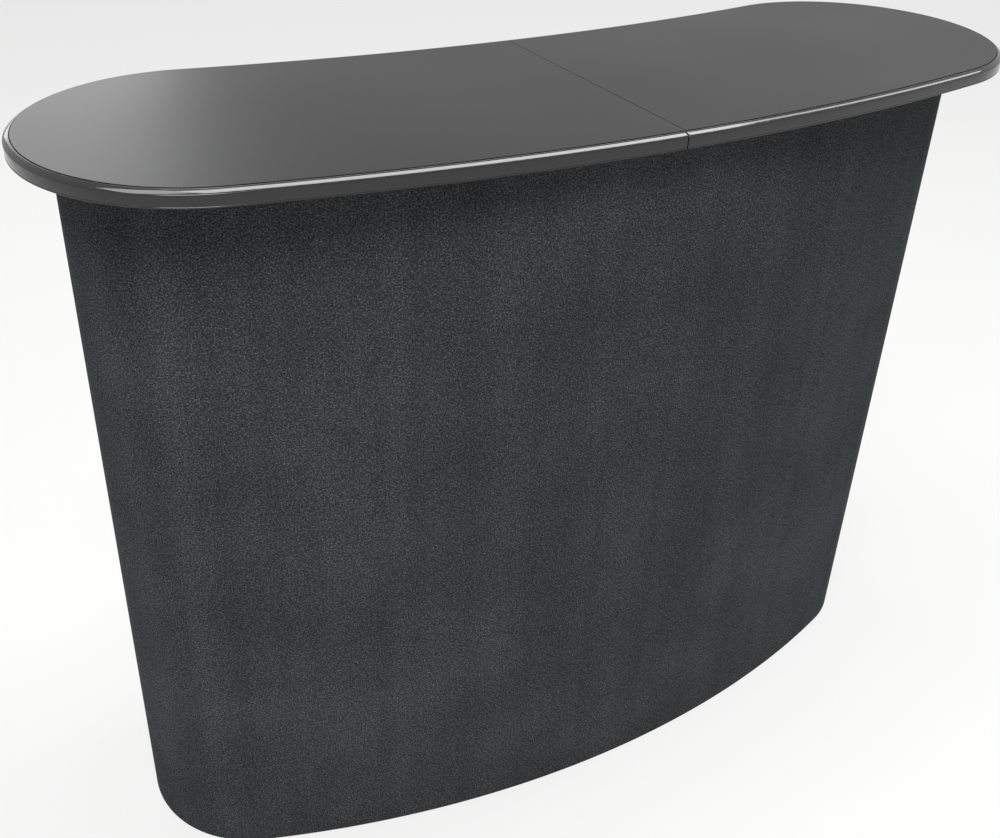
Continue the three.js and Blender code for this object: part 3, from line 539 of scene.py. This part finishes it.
# shoulder, crown and bead are arcs: a centre plus the radius times (sin, cos) of the lean from upright
bend = np.radians(np.linspace(90, 43, 6))
shoulder = np.array([-1.8, top["high"] - 6.0]) + 1.8 * np.stack([np.sin(bend), np.cos(bend)], 1)
bend = np.radians(np.linspace(43, 22, 12))
crown = 16.5 * np.stack([np.sin(bend), np.cos(bend)], 1)
crown += shoulder[-1] - crown[0]
bend = np.radians(np.linspace(80, -90, 9))
bead = crown[-1] + [-0.95, -0.15] + 0.85 * np.stack([np.sin(bend), np.cos(bend)], 1)
innerFace = [[-top["edge"], top["high"] - 2.0], [-top["edge"], top["low"]]]
mouldingSection = np.concatenate([lowerLip, swell, shoulder, crown[1:], bead, innerFace])
# at the seam the moulding's corner is a quarter circle, as an inset that grows towards each end of the run
fromEnd = np.r_[0, np.linalg.norm(np.diff(rim[0], axis=0), axis=1).cumsum()]
fromEnd = np.minimum(fromEnd, fromEnd[-1] - fromEnd)
short = np.clip(top["corner"] - fromEnd, 0, None)
cornerInset = top["corner"] - np.sqrt(top["corner"] ** 2 - short ** 2)
boardOutline = rim[0] - top["edge"] * rim[1]
boardStations = np.array([[top["low"], 0.25], [top["low"] + 0.25, 0], [top["high"] - 0.35, 0],
                          [top["high"] - 0.1, 0.25]])
for side, axes in sides.items():
    body = "top_" + side
    putPiece(f"top_{side}_board_smooth", [turned(loft(boardOutline, boardStations), axes)], laminate, body,
             [f"top_{side}_board"], 30)
    moulding = turned(sweep(rim, mouldingSection, cornerInset), axes)
    putPiece(f"top_{side}_moulding_smooth", [moulding], edgeGloss, body, [f"top_{side}_moulding"],
             50)
print("top halves made")

# Wrap: a front arc to the hinge line and half a turn at each end
wrap = {"endX": 460.0, "endY": 48.0, "endRadius": 158.0, "frontY": 1330.5, "frontRadius": 1520.5,
        "frontSlats": 26, "endSlats": 25, "slat": 20.0, "groove": 1.0, "grooveDepth": 3.0,
        "low": 1.0, "high": 980.0, "fabric": 1.5, "coreOut": -1.7, "coreIn": -6.7, "coreHigh": 979.8,
        "bendFrom": 6.0, "bendTo": 30.0}
wingAngle = math.atan2(wrap["endX"], wrap["frontY"] - wrap["endY"])
hingePoint = np.array([wrap["endX"] + wrap["endRadius"] * math.sin(wingAngle),
                       wrap["endY"] - wrap["endRadius"] * math.cos(wingAngle)])


# the wrap's outer face in plan: the front arc from a first distance off the middle, then half a turn
def wrapPath(first, frontCount, endCount):
    frontAngles = np.linspace(first / wrap["frontRadius"], wingAngle, frontCount)
    endAngles = np.linspace(wingAngle, wingAngle + np.pi, endCount)
    return joinRuns([arc(0, wrap["frontY"], wrap["frontRadius"], frontAngles),
                     arc(wrap["endX"], wrap["endY"], wrap["endRadius"], endAngles)])


# the fabric's section is a flat loop with round hems
hem = wrap["fabric"] / 2
roll = np.linspace(0, np.pi, 7)
lowHem = np.stack([-hem - hem * np.cos(roll), wrap["low"] + hem - hem * np.sin(roll)], 1)
highHem = np.stack([-hem + hem * np.cos(roll), wrap["high"] - hem + hem * np.sin(roll)], 1)
fabricSection = np.concatenate([lowHem, highHem])

# the core's slats: samples at each groove and across each slat, where the inner offset rises at the groove
slatSteps = np.array([0, wrap["groove"], 7.0, 13.0, wrap["slat"] - wrap["groove"]])
frontStep = wingAngle / wrap["frontSlats"]
endStep = np.pi / wrap["endSlats"]
inSlat = slatSteps / wrap["slat"]
frontAngles = np.r_[((np.arange(wrap["frontSlats"])[:, None] + inSlat) * frontStep).ravel(), wingAngle]
endAngles = wingAngle + np.r_[((np.arange(wrap["endSlats"])[:, None] + inSlat) * endStep).ravel(), np.pi]
corePath = joinRuns([arc(0, wrap["frontY"], wrap["frontRadius"], frontAngles),
                     arc(wrap["endX"], wrap["endY"], wrap["endRadius"], endAngles)])
atGroove = np.r_[np.tile(slatSteps == 0, wrap["frontSlats"] + wrap["endSlats"]), False]
coreInner = np.where(atGroove, wrap["coreIn"] + wrap["grooveDepth"], wrap["coreIn"])
coreOffsets = np.stack([np.full(len(coreInner), wrap["coreOut"])] * 2 + [coreInner] * 2, 1)
corePlan = corePath[0][:, None] + corePath[1][:, None] * coreOffsets[:, :, None]
coreZ = np.array([0.0, wrap["coreHigh"], wrap["coreHigh"], 0.0])[None, :, None]
coreZ = np.broadcast_to(coreZ, corePlan.shape[:2] + (1,))
coreShape = gridShape(np.concatenate([corePlan, coreZ], 2))
fabricShape = sweep(wrapPath(0, 130, 150), fabricSection)

# a binding of woven tape over the wing's raw edge: a flange on the fabric that turns over the end
tip = wingAngle + np.pi
tipRun = tip + np.array([-11.0, -10.6, -7, -3.5, 0, 0.5, 0.9]) / wrap["endRadius"]
bindingPath = arc(wrap["endX"], wrap["endY"], wrap["endRadius"], tipRun)
bindingOut = np.array([0.1, 0.6, 0.7, 0.7, 0.6, 0.4, 0.0])
bindingIn = np.array([0.02, 0.02, 0.02, 0.02, 0.02, -6.6, -6.4])
bindingOffsets = np.stack([bindingOut, bindingIn], 1)
bindingPlan = bindingPath[0][:, None] + bindingPath[1][:, None] * bindingOffsets[:, :, None]
bindingPlan = np.concatenate([bindingPlan[:, 0], bindingPlan[::-1, 1]])
bindingStations = np.array([[1.0, 0.0], [979.6, 0.0]])

# the bend lies just past the hinge line, on the wing's side, so that the front stays clear of the former;
# bendAim leads from the hinge line into the wing's hollow, with all of the front behind it
for side, axes in sides.items():
    sign = axes[0, 0]
    wing = f"{side}_wing"
    bendAim = np.array([0.34 * sign, 0.94, 0])
    bendAt = np.array([hingePoint[0] * sign, hingePoint[1], 490.0])
    bendStart = tuple((bendAt + wrap["bendFrom"] * bendAim) * 0.001)
    bendEnd = tuple((bendAt + wrap["bendTo"] * bendAim) * 0.001)
    replaced = [f"wrap_{side}_core"] + (["wrap_front_core"] if side == "right" else [])
    core = putPiece(f"wrap_{side}_slats", [turned(coreShape, axes)], hardboard, None, replaced,
                    25)
    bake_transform(core, "centre_frame", wing, bendStart, bendEnd)
    replaced = [f"wrap_{side}_fabric"] + (["wrap_front_fabric"] if side == "right" else [])
    cloth = putPiece(f"wrap_{side}_pile", [turned(fabricShape, axes)], loopPile, None, replaced,
                     60)
    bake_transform(cloth, "centre_frame", wing, bendStart, bendEnd)
    putPiece(f"wrap_{side}_binding", [turned(loft(bindingPlan, bindingStations), axes)], tape, wing, sharp=50)

# Formers under the top, with a run of hook tape that the wrap presses on
former = {"out": -9.2, "thick": 12.0, "low": 959.0, "high": 980.8, "tapeOut": -7.1, "tapeLow": 961.0,
          "tapeHigh": 979.0, "softness": 1.0}
formerPath = wrapPath(0.4, 60, 90)
formerIn = former["out"] - former["thick"]
formerSection = roundedOutline(rectangle(formerIn, former["low"], former["out"], former["high"]),
                               former["softness"], 3)
tapeSides = rectangle(former["out"], former["tapeLow"], former["tapeOut"], former["tapeHigh"])
tapeSection = roundedOutline(tapeSides, 0.4, 2)
for side, axes in sides.items():
    body = "top_" + side
    putPiece(f"top_{side}_former_bent", [turned(sweep(formerPath, formerSection), axes)], bentPly, body,
             [f"top_{side}_former"])
    putPiece(f"top_{side}_hook_tape", [turned(sweep(formerPath, tapeSection), axes)], tape, body)
print("formers made")


# the box of a CAD node in millimetres
def boxOf(node):
    low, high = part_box(node)
    return np.array(low) * 1000, np.array(high) * 1000


# a bar with rounded corners and softened ends in the place of a CAD node, along one axis
def bar(node, axis, radius, bevel):
    low, high = boxOf(node)
    a, b = [k for k in range(3) if k != axis]
    section = rectangle(low[a], low[b], high[a], high[b])
    return loft(roundedOutline(section, radius), softEnds(low[axis], high[axis], bevel), axis)


# Ladder frames: square tubes, flat rails, a sled foot and a rubber strip under it
# each kind of bar: the axis that it runs along, its corner radius, its end bevel, finish and slot
ladderBars = {"front_post": (2, 2.0, 0.4, aluminium, "aluminium"),
              "back_post": (2, 2.0, 0.4, aluminium, "aluminium"),
              "top_rail": (1, 2.0, 1.2, aluminium, "aluminium"),
              "shelf_rail": (1, 2.0, 0.4, aluminium, "aluminium"),
              "sled_rail": (1, 3.0, 2.0, powderCoat, "black_steel"),
              "glide": (1, 0.9, 1.5, rubber, "rubber")}
for place in ("centre", "left", "right"):
    for kind, (axis, radius, bevel, finish, slot) in ladderBars.items():
        node = f"{place}_{kind}"
        if node in frame["nodes"]:
            body = body_of(frame["nodes"][node])[0]
            putPiece(node + "_bar", [bar(node, axis, radius, bevel)], finish, body, [node])
print("ladder frames made")

# Scissor bays: each bay's own axes run along it, up, and out towards the customers
bay = {"sine": 0.143512, "postY": -147.0, "near": 14.0, "far": 434.5, "low": 95.0, "high": 808.483,
       "half": 9.0, "thick": 4.0, "inner": 16.0, "outer": 21.0, "facet": 15.5, "head": 6.5, "pin": 4.0,
       "shoulder": 7.0, "play": 0.3, "headRise": 2.0}
# the half width of each collar's hole, and its lower and upper end
bracketFit = (10.2, 83.0, 107.0)
sliderFit = (10.3, 793.5, 823.5)
bayCos = math.sqrt(1 - bay["sine"] ** 2)
bayAxes = np.array([[bayCos, bay["sine"], 0], [0, 0, 1], [bay["sine"], -bayCos, 0]])
bayOrigin = np.array([0, bay["postY"], 0])


# a stadium from one pivot to another, lofted through the strut's thickness
def strut(start, end, layer):
    start, end = np.array(start), np.array(end)
    run = (end - start) / np.linalg.norm(end - start)
    lean = np.array([-run[1], run[0]])
    angle = np.linspace(0, np.pi, 17)
    cap = bay["half"] * (np.cos(angle)[:, None] * lean * -1 + np.sin(angle)[:, None] * run)
    return loft(np.concatenate([end + cap, start - cap]), softEnds(layer, layer + bay["thick"], 0.7))


# a rivet on the bay's normal: a domed head, a neck and, if it stands off its bracket, a shoulder
def rivet(along, z, start, layer):
    tipAt = layer + bay["thick"] + bay["play"]
    dome = np.linspace(0, np.pi / 2, 6)
    head = np.stack([bay["head"] * np.cos(dome), tipAt + 0.5 + (bay["headRise"] - 0.5) * np.sin(dome)], 1)
    head[-1, 0] = 0.4
    wide = bay["shoulder"] if layer > bay["inner"] else bay["pin"]
    profile = [[0.4, start], [wide, start], [wide, layer - bay["play"]], [bay["pin"], layer - bay["play"]],
               [bay["pin"], tipAt], [bay["head"], tipAt]]
    points, faces, uvs = lathe(np.concatenate([profile, head]))
    return points + np.array([along, z, 0]), faces, uvs


middleAlong = (bay["near"] + bay["far"]) / 2
middleZ = (bay["low"] + bay["high"]) / 2
# the cross rivet: a head at the back, a washer between the struts and a head in front
rear = bay["inner"] - bay["play"]
washerLow = bay["inner"] + bay["thick"] + bay["play"]
washerHigh = bay["outer"] - bay["play"]
ahead = bay["outer"] + bay["thick"] + bay["play"]
crossProfile = [[0.4, rear - bay["headRise"]], [4.6, rear - 1.6], [bay["head"], rear - 0.6],
                [bay["head"], rear], [bay["pin"], rear], [bay["pin"], washerLow], [bay["head"], washerLow],
                [bay["head"], washerHigh], [bay["pin"], washerHigh], [bay["pin"], ahead],
                [bay["head"], ahead], [bay["head"], ahead + 0.6], [4.6, ahead + 1.6],
                [0.4, ahead + bay["headRise"]]]
for side, axes in sides.items():
    lay = bayAxes @ axes
    near, far = bay["near"], bay["far"]
    inner = strut((near, bay["low"]), (far, bay["high"]), bay["inner"])
    outer = strut((far, bay["low"]), (near, bay["high"]), bay["outer"])
    points, faces, uvs = lathe(crossProfile)
    cross = (points + np.array([middleAlong, middleZ, 0]), faces, uvs)
    putPiece(f"{side}_inner_strut_flat", [turned(inner, lay, bayOrigin)], aluminium, f"{side}_inner_strut",
             [f"{side}_inner_strut"])
    putPiece(f"{side}_outer_strut_flat", [turned(outer, lay, bayOrigin)], aluminium, f"{side}_outer_strut",
             [f"{side}_outer_strut"])
    putPiece(f"{side}_cross_rivet", [turned(cross, lay, bayOrigin)], zinc, f"{side}_inner_strut",
             [f"{side}_cross_pin"])


# a collar round a post: its section is a loop of an outer wall with softened rims and the square hole
def collar(walls, hole, low, high, bevel=1.0):
    outer = softOutline(walls)
    holeWalls = [[1, 0, hole], [-1, 0, hole], [0, 1, hole], [0, -1, hole]]
    square = softOutline(holeWalls, power=60)
    stations = softEnds(low, high, bevel)
    shrink = 1 - stations[:, 1, None, None] / np.linalg.norm(outer, axis=1).mean()
    rings = np.concatenate([outer[None] * shrink, square[None], square[None]])
    z = np.r_[stations[:, 0], high, low]
    z = np.broadcast_to(z[:, None, None], rings.shape[:2] + (1,))
    return gridShape(np.concatenate([rings, z], 2), loopRows=True)


endWalls = [[bay["sine"], -bayCos, bay["facet"]], [1, 0, 14], [-1, 0, 14], [0, 1, 14]]
centreWalls = [[bay["sine"], -bayCos, bay["facet"]], [-bay["sine"], -bayCos, bay["facet"]],
               [1, 0, 26], [-1, 0, 26], [0, 1, 14]]
endPost = np.array([bay["far"] * bayCos, bay["postY"] + bay["far"] * bay["sine"], 0])
studStart = bay["facet"] - 1.5
for side, axes in sides.items():
    lay = bayAxes @ axes
    bracket = turned(turned(collar(endWalls, *bracketFit), np.eye(3), endPost), axes)
    stud = turned(rivet(bay["far"], bay["low"], studStart, bay["outer"]), lay, bayOrigin)
    putPiece(f"{side}_pivot_bracket_folded", [bracket], powderCoat, f"{side}_frame",
             [f"{side}_pivot_bracket"])
    putPiece(f"{side}_pivot_rivet", [stud], zinc, f"{side}_frame")
    slider = turned(turned(collar(endWalls, *sliderFit), np.eye(3), endPost), axes)
    stud = turned(rivet(bay["far"], bay["high"], studStart, bay["inner"]), lay, bayOrigin)
    putPiece(f"{side}_slider_block", [slider], nylon, f"{side}_slider", [f"{side}_slider"])
    putPiece(f"{side}_slider_rivet", [stud], zinc, f"{side}_slider")
bracket = turned(collar(centreWalls, *bracketFit), np.eye(3), bayOrigin)
studs = [turned(rivet(bay["near"], bay["low"], studStart, bay["inner"]), bayAxes @ axes, bayOrigin)
         for axes in sides.values()]
putPiece("centre_pivot_bracket_folded", [bracket], powderCoat, "centre_frame", ["centre_pivot_bracket"])
putPiece("centre_pivot_rivets", studs, zinc, "centre_frame")
slider = turned(collar(centreWalls, *sliderFit), np.eye(3), bayOrigin)
studs = [turned(rivet(bay["near"], bay["high"], studStart, bay["outer"]), bayAxes @ axes, bayOrigin)
         for axes in sides.values()]
putPiece("centre_slider_block", [slider], nylon, "centre_slider", ["centre_slider"])
putPiece("centre_slider_rivets", studs, zinc, "centre_slider")

# Clamp knob: a radius that swells in six lobes round the screw's axis, with a domed face
knob = {"radius": 13.0, "lobe": 1.6, "lobes": 6, "start": 14.3}
angle = np.linspace(0, 2 * np.pi, 120, endpoint=False)
lobes = knob["radius"] + knob["lobe"] * np.cos(knob["lobes"] * angle)
# rows of (share of the lobed radius, height): skirt, grip, rounded shoulder, shallow dish in the face
knobRows = np.array([[0.5, 0], [0.88, 0], [0.95, 0.6], [0.98, 2], [1.0, 5], [0.99, 8.5], [0.95, 10.6],
                     [0.88, 11.6], [0.78, 12.0], [0.66, 11.8], [0.55, 11.2], [0.4, 10.9], [0.05, 10.8]])
knobRing = (knobRows[:, 0, None] * lobes)[:, :, None] * np.stack([np.cos(angle), np.sin(angle)], 1)[None]
knobHeight = np.broadcast_to(knobRows[:, 1, None, None] + knob["start"], knobRing.shape[:2] + (1,))
knobAxes = [[1, 0, 0], [0, 0, 1], [0, 1, 0]]
knobOrigin = (0, bay["postY"], bay["high"])
knobHead = turned(gridShape(np.concatenate([knobRing, knobHeight], 2)), knobAxes, knobOrigin)
screw = turned(lathe([[2.2, 10.3], [3.0, 11.0], [3.0, 15.0]], 24), knobAxes, knobOrigin)
putPiece("clamp_knob_lobed", [knobHead], nylon, "clamp_knob", ["clamp_knob"], 50)
putPiece("clamp_knob_screw", [screw], zinc, "clamp_knob")
print("scissor bays made")

# Shelf leaves: parallelograms of plywood with eased edges, on rods in the tray's ears
shelf = {"start": 26.0, "end": 436.0, "front": -126.0, "back": 82.4, "low": 430.0, "high": 442.0,
         "corner": 5.0, "ease": 1.2}
slope = bay["sine"] / bayCos
leafCorners = [[shelf["start"], shelf["front"] + shelf["start"] * slope],
               [shelf["end"], shelf["front"] + shelf["end"] * slope],
               [shelf["end"], shelf["back"] + shelf["end"] * slope],
               [shelf["start"], shelf["back"] + shelf["start"] * slope]]
leaf = loft(roundedOutline(leafCorners, shelf["corner"], 6),
            softEnds(shelf["low"], shelf["high"], shelf["ease"]))
for side, axes in sides.items():
    putPiece(f"{side}_shelf_leaf", [turned(leaf, axes)], birch, f"{side}_shelf", [f"{side}_shelf_board"])
    low, high = boxOf(f"{side}_shelf_rod")
    middle = (low + high) / 2
    rod = lathe([[1.8, low[1]], [2.6, low[1] + 0.4], [3.0, low[1] + 1.2], [3.0, high[1] - 1.2],
                 [2.6, high[1] - 0.4], [1.8, high[1]]], 28)
    rodShape = turned(rod, [[1, 0, 0], [0, 0, 1], [0, 1, 0]], (middle[0], 0, middle[2]))
    putPiece(f"{side}_shelf_rod_turned", [rodShape], zinc, "centre_frame", [f"{side}_shelf_rod"])
print("shelf leaves made")

# Battens at the wings' free edges: the wrap's inner curve behind, a flat face towards the back post
batten = {"inner": 409.0, "outer": 445.9, "face": 176.1, "low": 0.0, "high": 956.5, "gap": 6.9, "ease": 1.2}
seatRadius = wrap["endRadius"] - batten["gap"]
seatFrom = math.asin((batten["outer"] - wrap["endX"]) / seatRadius)
seatTo = math.asin((batten["inner"] - wrap["endX"]) / seatRadius)
seatAngle = np.linspace(seatFrom, seatTo, 9)
seat = seatRadius * np.stack([np.sin(seatAngle), np.cos(seatAngle)], 1) + [wrap["endX"], wrap["endY"]]
easedFace = batten["face"] + batten["ease"]
flatSide = [[batten["inner"], easedFace], [batten["inner"] + batten["ease"], batten["face"]],
            [batten["outer"] - batten["ease"], batten["face"]], [batten["outer"], easedFace]]
battenPlan = np.concatenate([flatSide, seat])
for side, axes in sides.items():
    shape = loft(battenPlan, softEnds(batten["low"], batten["high"], 0.8))
    putPiece(f"wrap_{side}_batten_strip", [turned(shape, axes)], nylon, f"{side}_wing",
             [f"wrap_{side}_batten"], 35)
print("battens made")

# Hinge barrels in the seam faces and the pegs under the left half
for place in ("front", "back"):
    for side, axes in sides.items():
        node = f"{place}_hinge_{side}_barrel"
        low, high = boxOf(f"{place}_hinge_right_barrel")
        middle = (low + high) / 2
        barrel = lathe([[2.0, 1.2], [2.4, 0.2], [2.9, 0.0], [5.4, 0.0], [5.9, 0.5], [5.9, 29.6],
                        [5.4, 30.0]], 40)
        shape = turned(barrel, [[0, 1, 0], [0, 0, 1], [1, 0, 0]], (0.2, middle[1], middle[2]))
        putPiece(node + "_turned", [turned(shape, axes)], brass, "top_" + side, [node])
    low, high = boxOf(f"{place}_peg")
    middle = (low + high) / 2
    peg = lathe([[2.2, low[2]], [3.6, low[2] + 0.5], [4.6, low[2] + 2.0], [5.0, low[2] + 4.5],
                 [5.0, top["low"]]], 32)
    shapes = [turned(peg, np.eye(3), (middle[0], middle[1], 0))]
    putPiece(f"{place}_peg_turned", shapes, zinc, "top_left", [f"{place}_peg"])
print("hinges and pegs made")

# CAD nodes that keep their shape take their finish here
kept = {"top_seat_plate": powderCoat, "centre_shelf_tray": powderCoat, "left_shelf_hinge": stamped,
        "right_shelf_hinge": stamped}
for node, finish in kept.items():
    frame["nodes"][node].data.materials.clear()
    frame["nodes"][node].data.materials.append(finish)

# Studio: a pale floor, a dim even surround and soft boxes
studio = {"floor": "#e9e8e6", "surround": 0.13, "floorHalf": 40.0, "lift": 0.75, "backdrop": 0.77}


# 1 for a ray from the camera, in a reflection or through a clear surface, 0 for any other
def seenRay(tree):
    path = addNode(tree, "LightPath")
    camera, glossy, clear = (path.outputs[f"Is {kind} Ray"] for kind in ("Camera", "Glossy", "Transmission"))
    mirrored = addNode(tree, "Math", links={0: glossy, 1: clear}, operation="MAXIMUM")
    return addNode(tree, "Math", links={0: camera, 1: mirrored.outputs[0]}, operation="MAXIMUM")


paleFloor, tree, shader = startFinish("paleFloor", studio["floor"], {"Roughness": 0.9})
coords = addNode(tree, "TexCoord")
mottle = addNode(tree, "TexNoise", {"Scale": 1000 / 400, "Detail": 2.0}, {"Vector": coords.outputs["Object"]})
tint = addNode(tree, "ValToRGB", links={"Fac": mottle.outputs[0]}, stops=[(0.3, "#e7e6e4"), (0.7, "#ebeae8")])
feed(tree, shader, tint.outputs["Color"])
# seen directly or in a reflection, the floor is lifted towards white and keeps part of the shadow
seen = seenRay(tree)
lift = addNode(tree, "Math", {1: studio["lift"]}, {0: seen.outputs[0]}, operation="MULTIPLY")
white = addNode(tree, "Emission", {"Color": fromHex("#ffffff"), "Strength": 1.0})
blend = addNode(tree, "MixShader",
                links={0: lift.outputs[0], 1: shader.outputs["BSDF"], 2: white.outputs["Emission"]})
tree.links.new(blend.outputs["Shader"], tree.nodes["Material Output"].inputs["Surface"])
half = studio["floorHalf"]
floorMesh = bpy.data.meshes.new("floor")
floorCorners = [(x, y, 0) for x, y in rectangle(-half, -half, half, half)]
floorMesh.from_pydata(floorCorners, [], [(0, 1, 2, 3)])
floorMesh.materials.append(paleFloor)
floor = bpy.data.objects.new("floor", floorMesh)
bpy.context.collection.objects.link(floor)
floor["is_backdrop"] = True

world = bpy.data.worlds.new("studioSurround")
bpy.context.scene.world = world
world.use_nodes = True
tree = world.node_tree
background = tree.nodes["Background"]
background.inputs["Color"].default_value = fromHex("#ffffff")
seen = seenRay(tree)
level = addNode(tree, "MapRange", {"To Min": studio["surround"], "To Max": studio["backdrop"]},
                {"Value": seen.outputs[0]})
tree.links.new(level.outputs["Result"], background.inputs["Strength"])

# soft boxes: name, place, aim, width, height, power
softBoxes = [("keyBox", (-1.6, -2.1, 4.3), (0, -0.1, 0.4), 2.2, 1.7, 107),
             ("overheadLeft", (0.65, -0.05, 3.2), (0.65, -0.05, 0.0), 2.7, 1.0, 72),
             ("overheadRight", (3.2, 0.1, 3.2), (3.2, 0.1, 0.0), 2.4, 0.5, 20),
             ("overheadEnd", (-1.3, 0.2, 3.2), (-1.3, 0.2, 0.0), 1.2, 1.0, 18),
             ("backBox", (-0.42, 2.9, 2.0), (-0.4, 0.0, 1.0), 1.35, 1.7, 16.5)]
for name, place, aim, width, height, power in softBoxes:
    lamp = bpy.data.lights.new(name, "AREA")
    lamp.shape = "RECTANGLE"
    lamp.size, lamp.size_y, lamp.energy = width, height, power
    box = bpy.data.objects.new(name, lamp)
    box.location = place
    box.rotation_euler = (Vector(aim) - Vector(place)).to_track_quat("-Z", "Y").to_euler()
    bpy.context.collection.objects.link(box)

# Camera: stands to the customers' left and looks down on the bar; its focal length is in pixels, for a
# picture 1000 pixels wide
view = {"place": (-0.80955, -1.22403, 1.42411), "yaw": 30.336, "pitch": 32.166, "roll": 2.247,
        "focal": 1202.7}
lens = bpy.data.cameras.new("camera")
lens.sensor_width = 36.0
lens.lens = view["focal"] * lens.sensor_width / 1000
camera = bpy.data.objects.new("camera", lens)
camera.location = view["place"]
aim = Euler((math.radians(90 - view["pitch"]), 0, -math.radians(view["yaw"]))).to_matrix()
camera.rotation_euler = (aim @ Matrix.Rotation(math.radians(view["roll"]), 3, "Z")).to_euler()
bpy.context.collection.objects.link(camera)
bpy.context.scene.camera = camera
bpy.context.scene.view_settings.view_transform = "Standard"

low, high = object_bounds()
print("visual box", [round(x, 4) for x in low], [round(x, 4) for x in high])
